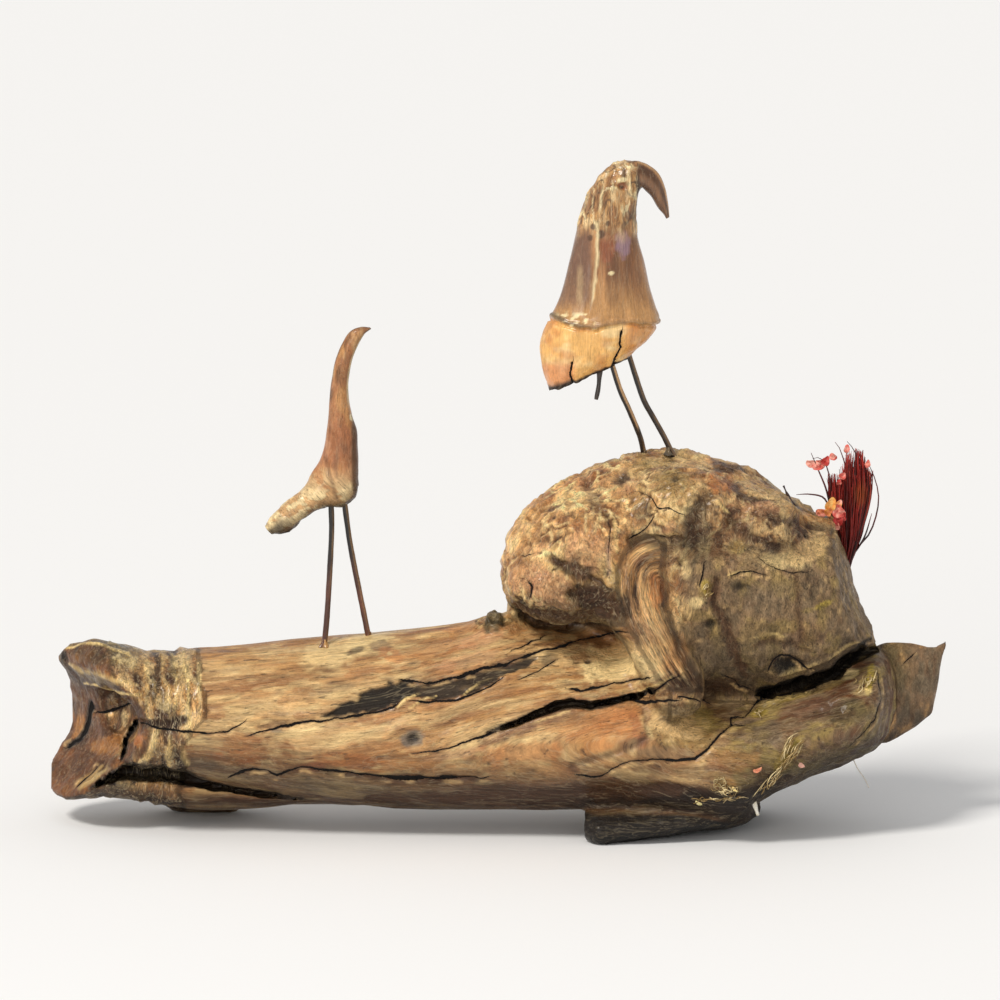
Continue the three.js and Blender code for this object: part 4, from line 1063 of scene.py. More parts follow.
def relief(zones):
    """How far each vertex stands proud of the surface, in millimetres, about nothing on the whole."""
    points, grain, knobs, hair = zones.points, zones.grain, zones.knobs, zones.strands
    log = (0.5 * noise(grain, (40, 8, 8), 21) + 0.3 * noise(grain, (22, 3.4, 3.4), 22)
           + 0.12 * noise(grain, (12, 1.7, 1.7), 23) + 0.16 * bark_height(grain, (24, 5, 5), 24) - 0.15)
    block = (0.9 * rough(points, (12, 12, 18), 33, 2) + 0.5 * bark_height(points, (9, 9, 12), 34)
             + 0.22 * noise(points, (2.4, 2.4, 6), 35) + 0.3 * noise(points, (1.8, 1.8, 2.4), 36) - 0.45)
    burl = (1.1 * rough(knobs, 13, 41, 2) + 0.5 * bark_height(knobs, 6, 42)
            - 0.5 * smoothly(0.12, 0.0, billows(knobs, 5, 43, 1)) + 0.42 * noise(knobs, 2.6, 44)
            + 0.3 * noise(knobs, 1.6, 45) + 0.5 * wrinkles(zones) - 0.4)
    neck = (0.5 * noise(hair, (1.2, 30, 16), 51) + 0.55 * noise(hair, (2.6, 30, 20), 52)
            + 0.35 * noise(hair, (1.5, 9, 5), 53) - 0.2)
    collar = 0.65 * creases(zones) + 0.35 * rough(points, (7, 5, 5), 64) + 0.3 * wrinkles(zones) - 0.1
    end = 0.6 * rough(points, (7, 5, 6), 71) + 0.3 * noise(points, (5, 1.8, 2.5), 72)
    foot = 0.9 * rough(points, (7, 5, 4), 81)
    fin = 0.3 * noise(points, (4, 3, 14), 85) + 0.16 * noise(points, (1.5, 2, 9), 86)
    fork = 0.6 * rough(points, (8, 6, 6), 87) + 0.3 * noise(points, (2.4, 2.4, 2), 88) - 0.1
    log = mix(log, fork, fork_share(zones))
    height = zones.mixed(log, burl, block, neck, collar, end, foot, fin)

    front = zones.front
    height -= 1.0 * stripped(zones)
    for s, t, rs, rt, depth, _ in PITS:
        away = np.hypot((zones.s - s) / rs, (zones.t - t) / rt)
        height -= depth * smoothly(1.3, 0.1, away) * front
    wobble = zones.wobble
    for line, _ in CRACKS.values():
        distance, _, half = along_line(zones.s, zones.t + wobble, line)
        height -= np.minimum(1.1 * half, 0.5) * smoothly(1.3, 0, distance) * front
    for line, depth, _ in FOLDS.values():
        distance, _, half = along_line(zones.s + 2 * wobble, zones.t + 2 * wobble, line)
        height -= depth * smoothly(2.2 * half, 0, distance) * front
    for line, rise, _ in RIDGES.values():
        distance, _, half = along_line(zones.s + wobble, zones.t, line)
        uneven = 0.75 + 0.5 * noise(points, 3, 94)
        height += rise * uneven * smoothly(1.7 * half, 0, distance) * front
    stub = np.hypot(zones.s - STUB[0], (zones.t - STUB[1]) / 1.25)
    height += (1.8 * smoothly(3.2, 2.0, stub) - 0.9 * smoothly(1.6, 0.4, stub)) * front
    return height


def creases(zones):
    """The collar's folds, which run round the log."""
    bent = 1.6 * noise(zones.points, (9, 7, 9), 61) + 0.6 * noise(zones.points, (5, 3, 4), 66)
    ring = zones.points + bent[:, None]
    return noise(ring, (2.6, 11, 14), 62) + 0.4 * noise(ring, (1.5, 6, 7), 63)


def wrinkles(zones):
    """Narrow winding ridges on the burl and on the collar, from 0 to 1."""
    over_burl = np.abs(noise(zones.knobs, (4.6, 4.6, 6), 46))
    ring = zones.points + 1.2 * np.stack([noise(zones.points, (9, 7, 9), 61)] * 3, axis=1)
    round_collar = np.abs(noise(ring, (3.4, 14, 12), 65))
    line = np.where(zones.s < -60, round_collar, over_burl)
    return smoothly(0.16, 0.03, line) * smoothly(-0.4, 0.2, noise(zones.points, 6, 47))


def fork_share(zones):
    return smoothly(60, 84, zones.s) * (1 - zones.crown)


# For the log, the burl, the block, the neck, the collar, the broken end, the foot and the fin: how
# far each is drawn in, and how strong its finest streaks, wrinkles and pores are.
DRAWN_IN = (0.55, 0.8, 0.65, 0.1, 0, 0, 0, 0)
DETAIL = [
    (0.5, 0.14, 0.55), (0.7, 0.3, 0.6), (0.8, 0.08, 0.6), (1.1, 0.3, 0.2),
    (0.8, 0.5, 0.4), (0.45, 0.2, 0.3), (0.5, 0.1, 0.2), (0.5, 0.1, 0.3),
]
FORK_DETAIL = np.array([0.6, 0.15, 0.6])


def drawn_in(zones):
    """How far the surface lies inside the plain wood, so that its relief keeps within the outline."""
    return zones.mixed(*[np.full(len(zones.s), depth) for depth in DRAWN_IN])


def fine_detail(zones):
    """How strong the finest streaks, wrinkles and pores are at each vertex."""
    log, *others = [np.tile(detail, (len(zones.s), 1)) for detail in DETAIL]
    return zones.mixed(mix(log, FORK_DETAIL, fork_share(zones)[:, None]), *others)


# The dark patch without its outer wood, on the log's front: points [s, t, half width].
STRIPPED = [
    [-60, 36.8, 0.1], [-57, 37.7, 0.9], [-52.4, 39.4, 2], [-47, 40.8, 2.8], [-41.5, 43, 3.7],
    [-36, 44.9, 3.5], [-31, 46.4, 2.2], [-25.5, 45.6, 2.3], [-19.6, 46, 3.1], [-14.2, 46.9, 3.2],
    [-8, 49, 3.3], [-2.6, 51.3, 2.9], [2, 53.4, 2], [7.4, 54.8, 1.8], [12, 56.8, 0.5],
]


def stripped(zones):
    """Where the dark patch lies, with ragged edges."""
    ragged = 1.1 * noise(zones.points, (5, 3, 3), 95) + 0.8 * noise(zones.points, (2.2, 1.3, 1.3), 96)
    distance, _, half = along_line(zones.s, zones.t, STRIPPED)
    return smoothly(0.5, -0.5, distance - half - ragged * smoothly(0, 1.5, half)) * zones.front


def ragged_ellipse(zones, s, t, rs, rt, slant):
    turn = math.radians(slant)
    ds, dt = zones.s - s, zones.t - t
    along = ds * math.cos(turn) + dt * math.sin(turn)
    across = dt * math.cos(turn) - ds * math.sin(turn)
    return np.hypot(along / rs, across / rt)


def tinted(base, colour, share):
    """The base colours, drawn by a share towards a colour: a name or its three values."""
    return mix(base, linear(COLOURS.get(colour, colour)), np.clip(share, 0, 1)[:, None])


def painted(base, coats):
    """The base under coats of paint, each a colour and its share."""
    for colour, share in coats:
        base = tinted(base, colour, share)
    return base


def all_over(points, colour):
    """One colour at every point."""
    return np.ones((len(points), 1)) * linear(colour)


def mottled(points, size, seed, first, second, third):
    """Three colours in blobs of the given size."""
    value = rough(points, size, seed, 4)
    paint = tinted(all_over(points, COLOURS[second]), first, smoothly(0.02, 0.3, value))
    return tinted(paint, third, smoothly(-0.05, -0.32, value))


LOG_SHADE = 0.8
WARMTH = np.array([1.04, 0.95, 0.8])  # the wood's varnish, over every colour of the driftwood
# These two darken and warm the broken end: partly the colour of its broken wood, partly painted shade, as
# it faces left and down.
END_SHADE = np.array([0.74, 0.68, 0.5])  # over the broken end's first colours
END_STAIN_AND_SHADE = np.array([0.8, 0.68, 0.48])  # over all of the broken end's colours


def wood_paint(zones, height):
    """Colour and roughness of each vertex."""
    points, grain, knobs, hair = zones.points, zones.grain, zones.knobs, zones.strands
    broad = rough(grain, (40, 8, 8), 101, 3)
    log = painted(all_over(points, COLOURS["tan"]), [
        ("pale_tan", smoothly(0.0, 0.4, broad)),
        ("golden", smoothly(0.0, -0.3, broad)),
        ("brown", 0.6 * smoothly(0.1, 0.4, rough(grain, (30, 5, 5), 103, 3))),
        ("orange", 0.35 * smoothly(0.1, 0.45, rough(grain, (30, 10, 10), 105))),
        ("purple_brown", 0.3 * smoothly(0.1, 0.5, rough(grain, (24, 8, 8), 106))),
        ("brown", 0.5 * smoothly(0.25, 0.6, noise(grain, (34, 1.7, 1.7), 104))),
        ("cream", 0.3 * smoothly(0.3, 0.6, noise(grain, (26, 1.5, 1.5), 102))),
    ])
    flaky = bark_height(grain, (11, 3.4, 3.4), 29)
    log = tinted(log, "brown", 0.4 * smoothly(0.7, 0.1, flaky))
    log = tinted(log, "cream", 0.35 * smoothly(1.1, 1.7, flaky))
    log *= LOG_SHADE
    log = painted(log, [
        ("dark_brown", 0.5 * smoothly(0.3, 0.65, rough(grain, (9, 1.8, 1.8), 107, 2))),
        ("brown", 0.5 * smoothly(0.15, 0.5, rough(grain, (13, 3, 3), 108, 2))),
        ("cream", 0.4 * smoothly(0.35, 0.7, rough(grain, (7, 1.6, 1.6), 109, 2))),
    ])

    block = mottled(points, (5, 5, 7), 111, "olive", "grey_brown", "grey")
    block = mix(block, linear(COLOURS["grey_brown"]), 0.4)
    block *= mix(1.7, 1.0, smoothly(54, 66, zones.t))[:, None]
    block = tinted(block, "dark_brown", 0.35 * smoothly(0.25, 0.6, noise(points, (2, 2, 3.4), 112)))
    block = tinted(block, "pale_tan", 0.35 * smoothly(0.4, 0.75, noise(points, (1.8, 1.8, 2.4), 113)))

    burl = mottled(knobs, 8, 121, "pale_tan", "tan", "brown")
    burl = painted(burl, [
        ("brown", 0.6 * smoothly(0.1, 0.5, noise(knobs, 3, 122))),
        ("dark_brown", 0.65 * smoothly(0.35, 0.7, noise(knobs, 2.2, 123))),
        ("olive", 0.45 * smoothly(0.0, 0.4, rough(points, 13, 124))),
        ("pink_tan", 0.4 * smoothly(0.1, 0.5, rough(points, 10, 125))),
    ])
    # The burl's grooves get painted shade, with a cream rim on either side; its wrinkles get cream lines.
    valleys = billows(knobs, 5, 43, 1)
    patchy = smoothly(-0.2, 0.3, noise(points, 9, 126))
    burl = painted(burl, [
        ("cream", 0.6 * smoothly(0.1, 0.16, valleys) * smoothly(0.3, 0.22, valleys) * patchy),
        ("dark_brown", 0.8 * smoothly(0.1, 0.03, valleys) * patchy),
        ("cream", 0.8 * wrinkles(zones)),
    ])
    right = smoothly(62, 76, zones.s)
    worn = rough(points, (5, 5, 3.4), 127)
    burl = tinted(burl, "dark_brown", 0.9 * right * smoothly(0.08, 0.3, worn))
    burl = tinted(burl, "pale_tan", 0.8 * right * smoothly(-0.08, -0.3, worn))
    # The burl is lighter towards its upper left and darker towards its right: painted light and shade.
    upper_left = smoothly(60, 24, zones.s) * smoothly(84, 94, zones.t)
    burl *= (mix(1.0, 1.4, upper_left) * mix(1.0, 0.82, smoothly(72, 84, zones.s)))[:, None]

    strand = (noise(hair, (1.2, 30, 16), 51) + 0.5 * noise(hair, (2.6, 30, 20), 52)
              + 0.4 * noise(hair, (1.5, 9, 5), 53))
    neck = painted(all_over(points, COLOURS["umber"]), [
        ("tan", smoothly(-0.5, 0.3, strand)),
        ("pale_tan", 0.9 * smoothly(0.3, 0.8, strand)),
        ("pink_tan", 0.5 * smoothly(0.0, 0.5, rough(hair, (4, 20, 9), 54))),
        ("dark_brown", 0.85 * smoothly(0.1, 0.6, noise(hair, (1.1, 24, 11), 55))),
    ])
    shaded = smoothly(66, 72, zones.t) * smoothly(84, 78, zones.t) * smoothly(9, 4, zones.flow)
    neck = tinted(neck, "near_black", 0.8 * shaded * smoothly(0.1, -0.3, strand))
    neck = tinted(neck, "grey_brown", 0.4 * smoothly(0.0, 0.5, rough(points, 9, 131)))

    folded = creases(zones)
    collar = mottled(points, (5, 9, 9), 141, "tan", "golden", "brown")
    # The collar's folds get a painted highlight on their crests and painted shade in their valleys, and its
    # wrinkles cream painted highlights.
    collar = painted(collar, [
        ("olive", 0.3 * smoothly(-0.1, 0.4, rough(points, 9, 142))),
        ("pale_tan", 0.8 * smoothly(0.05, 0.35, folded)),
        ("dark_brown", 0.95 * smoothly(-0.15, -0.4, folded)),
        ("olive", 0.6 * smoothly(-118, -124, zones.s) * smoothly(50, 54, zones.t)),
        ("cream", 0.75 * wrinkles(zones)),
    ])
    collar *= mix(1.0, 0.8, smoothly(44, 54, zones.t))[:, None]

    end = mottled(points, (5, 5, 5), 151, "brown", "purple_brown", "dark_brown")
    end = tinted(end, "golden", 0.7 * smoothly(0.1, 0.4, rough(points, (5, 5, 3), 153)))
    end *= END_SHADE
    end = tinted(end, "purple_brown", 0.6 * smoothly(0.05, 0.4, rough(points, (6, 6, 9), 152)))

    fin = mottled(points, (3, 3, 12), 161, "tan", "fin", "grey")
    fin = tinted(fin, "olive", 0.5 * smoothly(142, 130, zones.s) * smoothly(40, 50, zones.t))
    fin = tinted(fin, "dark_brown", 0.5 * smoothly(0.2, 0.7, noise(points, (1.5, 2, 9), 162)))

    foot = all_over(points, COLOURS["foot_black"])
    foot = tinted(foot, "charred", 0.5 * smoothly(0.2, 0.6, rough(points, 4, 171)))

    fork = fork_share(zones)
    fork_paint = mottled(grain, (9, 4, 4), 181, "olive", "grey_brown", "umber")
    fork_paint *= mix(0.56, 0.96, smoothly(14, 34, zones.t + 3 * noise(points, 6, 184)))[:, None]
    fork_paint = painted(fork_paint, [
        ("olive", 0.5 * smoothly(0.05, 0.4, rough(points, 8, 182))),
        ("dark_brown", 0.6 * smoothly(0.2, 0.6, noise(grain, (5, 1.8, 1.8), 183))),
    ])
    log = mix(log, fork_paint, fork[:, None])
    paint = zones.mixed(log, burl, block, neck, collar, end, foot, fin)

    front = zones.front
    warp = 0.45 * rough(points, 5, 191) + 0.25 * noise(points, 1.6, 192)
    for s, t, rs, rt, slant, name, strength in PATCHES:
        away = ragged_ellipse(zones, s, t, rs, rt, slant) + warp
        paint = tinted(paint, name, strength * smoothly(1.2, 0.7, away) * front)
    paint = mix(paint, paint * END_STAIN_AND_SHADE, zones.end[:, None])
    bare = stripped(zones)
    paint = painted(paint, [
        ("charred", 0.95 * bare),
        ("near_black", 0.75 * bare * smoothly(-24, -30, zones.s)),
        ("grey_brown", 0.7 * bare * smoothly(0.1, 0.6, noise(grain, (4, 1.5, 1.5), 193))
         * smoothly(-30, -22, zones.s)),
    ])

    # Painted shade along the bottom of the front: umber in blotches, and near black lower down in the
    # middle.
    low = zones.t + 1.6 * noise(points, (14, 6, 3), 197)
    low_front = front * (1 - zones.foot)
    blotched = smoothly(-0.3, 0.4, rough(grain, (12, 2.4, 2.4), 198, 2))
    paint = tinted(paint, "umber", mix(0.2, 0.9, blotched) * smoothly(17, 9, low) * low_front)
    paint = tinted(paint, "cave", 0.8 * smoothly(14.5, 11, low) * smoothly(16, 34, zones.s) * low_front)

    # The hollows are darker, partly dirt and partly painted shade, and the faces that turn downwards get
    # painted shade.
    paint *= mix(0.55, 1.0, smoothly(-1.3, 0.2, height))[:, None]
    paint *= mix(0.3, 1.0, smoothly(-0.7, 0.05, zones.normals[:, 2]))[:, None]
    wobble = zones.wobble
    # Each fold gets painted shade: dark brown, and near black where it is darkest.
    for line, _, dark in FOLDS.values():
        distance, _, half = along_line(zones.s + 2 * wobble, zones.t + 2 * wobble, line)
        shade = smoothly(1.8 * half, 0.4 * half, distance) * front
        paint = tinted(paint, "dark_brown", min(dark, 0.8) * shade)
        paint = tinted(paint, "cave", max(dark - 0.7, 0) * 3 * shade)
    # Each pit is painted near black, partly its own colour and partly painted shade in the hollow.
    for s, t, rs, rt, _, dark in PITS:
        away = ragged_ellipse(zones, s, t, rs, rt, 0) + 0.6 * warp
        paint = tinted(paint, "near_black", dark * smoothly(1.1, 0.5, away) * front)
    # Each ridge gets a painted highlight along its top, in the pale glue colour.
    for line, _, bright in RIDGES.values():
        distance, _, half = along_line(zones.s + wobble, zones.t, line)
        broken = smoothly(-0.8, 0.2, noise(points, (5, 4, 4), 194))
        paint = tinted(paint, "glue", bright * broken * smoothly(1.3 * half, 0.3 * half, distance) * front)
    # Below each crack its lower lip gets a painted highlight, in broken stretches.
    pale_stretches = smoothly(0, 0.5, noise(points, (4, 3, 2), 195))
    for line, dark in CRACKS.values():
        distance, side, half = along_line(zones.s, zones.t + wobble, line)
        paint = tinted(paint, "dark_brown", 0.5 * dark * smoothly(half + 0.6, half - 0.2, distance) * front)
        lip = smoothly(1.9, 1.1, distance) * smoothly(0.5, 0.9, distance) * (side < 0)
        paint = tinted(paint, "pale_tan", 0.5 * lip * pale_stretches * front)
    # The clefts are painted near black inside, and their walls that turn away near black too: painted
    # shade.
    for line, _ in CLEFTS.values():
        distance, _, half = along_line(zones.s, zones.t + wobble, line)
        deep = smoothly(half + 0.5, half - 0.3, distance)
        paint = tinted(paint, "near_black", 0.95 * deep * front)
    cut = smoothly(-0.1, -0.45, zones.normals @ TOWARDS_VIEWER - 0.5) * inside_cleft(zones)
    paint = tinted(paint, "near_black", 0.9 * cut)

    roughness = (0.40 + 0.16 * rough(points, 5, 196) + 0.2 * zones.block + 0.12 * fork + 0.2 * bare
                 - 0.1 * zones.collar)
    return paint * WARMTH, np.clip(roughness, 0.16, 0.9)


def inside_cleft(zones):
    """1 on the walls of the clefts."""
    inside = np.zeros(len(zones.s))
    for line, _ in CLEFTS.values():
        distance, _, half = along_line(zones.s, zones.t, line)
        inside = np.maximum(inside, smoothly(half + 0.8, half, distance))
    return inside


FAR = 9.0  # a distance past every line that is drawn


def crack_lines(zones):
    """Signed distance to the nearest crack, the distance itself, and the crack's half width.

    A crack that is faint, or that fades here and there, counts as narrower.
    """
    best = np.full(len(zones.s), FAR)
    signed, width = best.copy(), np.zeros(len(best))
    for line, dark in CRACKS.values():
        distance, side, half = along_line(zones.s, zones.t + zones.wobble, line)
        distance = np.where(zones.front > 0.2, distance, FAR)
        nearer = distance < best
        best = np.where(nearer, distance, best)
        signed = np.where(nearer, distance * side, signed)
        width = np.where(nearer, dark * half, width)
    width *= mix(0.4, 1.0, smoothly(-0.5, 0.3, noise(zones.points, (6, 6, 4), 97)))
    return np.stack([signed, best, width], axis=1)


def grain_space(zones):
    """Coordinates for the fine grain: it runs along the first axis."""
    points = zones.points
    log = zones.grain / np.array([8, 1, 1])
    block = points[:, [2, 0, 1]] / np.array([2, 1, 1])
    burl = zones.knobs[:, [2, 0, 1]] / np.array([1.8, 1, 1])
    neck = np.stack([zones.t / 5, 1.5 * zones.flow, points[:, 1] / 4], axis=1)
    collar = points[:, [2, 0, 1]] / np.array([3, 1, 1])
    sharp = smoothly(0.35, 0.65, zones.crown)
    crown = mix(burl, block, (zones.block / np.maximum(zones.crown, 1e-3))[:, None])
    space = mix(log, crown, sharp[:, None])
    space = mix(space, collar, smoothly(0.35, 0.65, np.maximum(zones.collar, zones.end))[:, None])
    space = mix(space, neck, smoothly(0.35, 0.65, zones.neck)[:, None])
    return mix(space, block, smoothly(0.4, 0.6, zones.fin)[:, None])


# The model stays within the box of the CAD solids, in the tables' millimetres.
LOW_CORNER = np.array(cad_box[0]) / MM - SHIFT
HIGH_CORNER = np.array(cad_box[1]) / MM - SHIFT
BOX_MARGIN = 0.01
RESTING = 0.3  # the wood below this height stays flat, to rest on
LEVELS = 4  # steps in how readily the unseen sides give up faces


def within_box(points):
    return np.clip(points, LOW_CORNER + BOX_MARGIN, HIGH_CORNER - BOX_MARGIN)


def driftwood(material):
    points, faces = surface_nets(wood_grid(), GRID_LOW, CELL)
    mesh = new_mesh("driftwood_surface", points, faces)
    zones = Zones(points_of(mesh), normals_of(mesh))
    height = relief(zones)
    moved = zones.points + zones.normals * (height - drawn_in(zones))[:, None]
    flat = zones.points[:, 2] < RESTING
    moved[flat] = zones.points[flat]
    set_points(mesh, within_box(moved))
    paint, roughness = wood_paint(zones, height)
    set_paint(mesh, paint, roughness)
    set_vector(mesh, "grain", grain_space(zones))
    set_vector(mesh, "detail", fine_detail(zones))
    set_vector(mesh, "crack", crack_lines(zones))
    piece = new_piece(mesh, "driftwood", material, "driftwood")
    hidden = 1 - zones.front
    group = piece.vertex_groups.new(name="plainer")
    for level in range(1, LEVELS + 1):
        chosen = np.flatnonzero((hidden * LEVELS).round() == level)
        group.add(chosen.tolist(), level / LEVELS, "REPLACE")
    keep_faces(piece, MOST_FACES, group.name)
    set_points(piece.data, within_box(points_of(piece.data)))


def keep_faces(piece, most, group):
    """Draws faces together where the mesh is flat, most of all in the given group of vertices."""
    triangles = sum(len(p.vertices) - 2 for p in piece.data.polygons)
    if triangles <= most:
        return
    fewer = piece.modifiers.new("fewer_faces", "DECIMATE")
    fewer.ratio = most / triangles
    fewer.vertex_group = group
    fewer.vertex_group_factor = 1.0
    graph = bpy.context.evaluated_depsgraph_get()
    mesh = bpy.data.meshes.new_from_object(piece.evaluated_get(graph))
    piece.modifiers.clear()
    mesh.name = piece.data.name + "_kept"
    piece.data = mesh
    mesh.shade_smooth()


# Materials.
class Nodes:
    """A short way to write a material's nodes."""

    def __init__(self, name):
        self.material = bpy.data.materials.new(name)
        self.material.use_nodes = True
        self.tree = self.material.node_tree
        self.surface = self.tree.nodes["Principled BSDF"]

    def add(self, kind, inputs=(), **settings):
        node = self.tree.nodes.new("ShaderNode" + kind)
        for key, value in settings.items():
            setattr(node, key, value)
        for key, value in dict(inputs).items():
            self.put(node.inputs[key], value)
        return node

    def put(self, socket, value):
        if isinstance(value, bpy.types.NodeSocket):
            self.tree.links.new(value, socket)
        else:
            socket.default_value = value

    def attribute(self, name):
        return self.add("Attribute", attribute_name=name)

    def noise(self, vector, scale, detail=3.0, rough=0.55, distortion=0.0):
        node = self.add("TexNoise", {
            "Vector": vector, "Scale": scale, "Detail": detail, "Roughness": rough,
            "Distortion": distortion})
        return node.outputs["Fac"]

    def spread(self, value, low, high, to_low=0.0, to_high=1.0):
        node = self.add("MapRange", {0: value, 1: low, 2: high, 3: to_low, 4: to_high})
        return node.outputs[0]

    def maths(self, operation, a, b=0.0):
        return self.add("Math", {0: a, 1: b}, operation=operation).outputs[0]

    def times(self, colour, share):
        """A colour made lighter or darker by a share."""
        node = self.add("VectorMath", {0: colour, "Scale": share}, operation="SCALE")
        return node.outputs[0]

    def over(self, share, below, above):
        node = self.add("Mix", {0: share, 6: below, 7: above}, data_type="RGBA")
        return node.outputs[2]

    def bump(self, height, distance, normal=None, strength=1.0):
        inputs = {"Height": height, "Distance": distance, "Strength": strength}
        if normal is not None:
            inputs["Normal"] = normal
        return self.add("Bump", inputs).outputs["Normal"]

    def finish(self, **sockets):
        for key, value in sockets.items():
            self.put(self.surface.inputs[key.replace("_", " ")], value)
        return self.material


# DARKEST colours the crack lines; the next colours the pores, their own dark, and the painted shade in the
# wrinkles' valleys; the last is the painted highlight on the wrinkles' crests.
DARKEST = (0.006, 0.004, 0.003, 1)
PORE_DARK_AND_CREASE_SHADE = (0.05, 0.03, 0.018, 1)
CREST_HIGHLIGHT = (0.86, 0.68, 0.4, 1)


def wood_material(name, gloss):
    """Painted wood: streaks, wrinkles and pores by the mesh's "detail", and sharp lines by its "crack"."""
    nodes = Nodes(name)
    paint = nodes.attribute("paint")
    grain = nodes.attribute("grain").outputs["Vector"]
    crack = nodes.add("SeparateXYZ", {0: nodes.attribute("crack").outputs["Vector"]}).outputs
    streaks, wrinkled, pored = nodes.add(
        "SeparateXYZ", {0: nodes.attribute("detail").outputs["Vector"]}).outputs
    place = nodes.add("TexCoord").outputs["Object"]
    streak = nodes.noise(grain, 0.7, 5.0, 0.66, 0.5)
    fibre = nodes.noise(grain, 2.4, 3.0, 0.6)
    grit = nodes.noise(place, 900.0, 3.0, 0.6)

    swing = nodes.maths(
        "ADD", nodes.spread(streak, 0.3, 0.7, -0.7, 0.7), nodes.spread(fibre, 0.3, 0.7, -0.4, 0.4))
    shade = nodes.add("Math", {0: swing, 1: streaks, 2: 1.0}, operation="MULTIPLY_ADD").outputs[0]
    shade = nodes.maths("MULTIPLY", shade, nodes.spread(grit, 0.3, 0.7, 0.93, 1.06))
    colour = nodes.times(paint.outputs["Color"], shade)
    pores = nodes.maths("MULTIPLY", nodes.spread(nodes.noise(grain, 1.3, 2.0, 0.6, 0.3), 0.36, 0.29), pored)
    colour = nodes.over(pores, colour, PORE_DARK_AND_CREASE_SHADE)

    # Each wrinkle gets a line of painted shade in its valley and, beside it, a line of painted highlight on
    # its crest, as if lit from one side.
    folded = nodes.noise(grain, 0.5, 3.0, 0.55, 0.8)
    valley = nodes.maths("ABSOLUTE", nodes.maths("SUBTRACT", folded, 0.44))
    valley = nodes.maths("MULTIPLY", nodes.spread(valley, 0.035, 0.01), wrinkled)
    crest = nodes.maths("ABSOLUTE", nodes.maths("SUBTRACT", folded, 0.54))
    crest = nodes.maths("MULTIPLY", nodes.spread(crest, 0.03, 0.008), wrinkled)
    colour = nodes.over(nodes.maths("MULTIPLY", valley, 0.8), colour, PORE_DARK_AND_CREASE_SHADE)
    colour = nodes.over(nodes.maths("MULTIPLY", crest, 0.75), colour, CREST_HIGHLIGHT)

    nearness = nodes.spread(crack[1], 2.4, 1.4)
    ragged = nodes.spread(nodes.noise(place, 1100.0, 2.0, 0.5), 0.3, 0.7, -0.12, 0.12)
    off = nodes.maths("ABSOLUTE", nodes.maths("ADD", crack[0], ragged))
    line = nodes.spread(nodes.maths("SUBTRACT", crack[2], off), -0.08, 0.06)
    line = nodes.maths("MULTIPLY", line, nearness)
    colour = nodes.over(line, colour, DARKEST)

    height = nodes.maths("ADD", streak, nodes.maths("MULTIPLY", fibre, 0.5))
    height = nodes.maths("MULTIPLY", height, streaks)
    height = nodes.maths("SUBTRACT", height, nodes.maths("MULTIPLY", pores, 0.4))
    height = nodes.maths("SUBTRACT", height, nodes.maths("MULTIPLY", valley, 0.4))
    height = nodes.maths("ADD", height, nodes.maths("MULTIPLY", crest, 0.3))
    height = nodes.maths("SUBTRACT", height, line)
    normal = nodes.bump(height, 0.0012)
    normal = nodes.bump(grit, 0.0002, normal)

    roughness = nodes.maths("ADD", paint.outputs["Alpha"], nodes.spread(streak, 0.3, 0.7, 0.1, -0.08))
    roughness = nodes.maths("MAXIMUM", roughness, nodes.maths("MULTIPLY", line, 0.95))
    brightness = nodes.add("RGBToBW", {0: colour}).outputs[0]
    shine = nodes.maths(
        "MULTIPLY", nodes.spread(brightness, 0.012, 0.08), nodes.spread(roughness, 0.6, 0.3, 0.2, 1.0))
    return nodes.finish(
        Base_Color=colour, Roughness=roughness, Normal=normal,
        Coat_Weight=nodes.maths("MULTIPLY", shine, gloss), Coat_Roughness=0.2, Specular_IOR_Level=0.3)


def speckled_material(
        name, scale, shades, roughness, depth, texture=(3.0, 0.6, 0.0), along_z=None, **sockets):
    """Paint under fine specks that change its shade and roughness, and stand up by a depth.

    Shades and roughness are pairs, low and high. Along_z draws the specks out that way.
    """
    nodes = Nodes(name)
    paint = nodes.attribute("paint")
    place = nodes.add("TexCoord").outputs["Object"]
    if along_z is not None:
        place = nodes.add("Mapping", {"Vector": place, "Scale": (1.0, 1.0, along_z)}).outputs["Vector"]
    specks = nodes.noise(place, scale, *texture)
    colour = nodes.times(paint.outputs["Color"], nodes.spread(specks, 0.3, 0.7, *shades))
    return nodes.finish(
        Base_Color=colour, Roughness=nodes.spread(specks, 0.3, 0.7, *roughness),
        Normal=nodes.bump(specks, depth), **sockets)


# Smooth curves.
def curve_through(points, count):
    """Points along a smooth curve through the given ones, by the distance between them."""
    table = np.array(points, float)
    lengths = np.linalg.norm(np.diff(table, axis=0), axis=1)
    at = np.concatenate([[0], np.cumsum(np.maximum(lengths, 1e-6))])
    rows = np.concatenate([at[:, None], table], axis=1)
    where = np.linspace(0, at[-1], count)
    return np.stack(smooth_rows(rows)(where), axis=1)


def tube(path, radii, sides):
    """Points and faces of a round tube along a path, closed at both ends."""
    path = np.asarray(path, float)
    radii = np.broadcast_to(radii, len(path))
    along = np.gradient(path, axis=0)
    along /= np.linalg.norm(along, axis=1)[:, None]
    side = np.cross(along, [0.0, 1.0, 0.02])
    side /= np.maximum(np.linalg.norm(side, axis=1), 1e-9)[:, None]
    up = np.cross(side, along)
    turn = np.linspace(0, 2 * np.pi, sides, endpoint=False)
    rings = (path[:, None] + radii[:, None, None] * (
        np.cos(turn)[None, :, None] * side[:, None] + np.sin(turn)[None, :, None] * up[:, None]))
    return close_rings(rings)


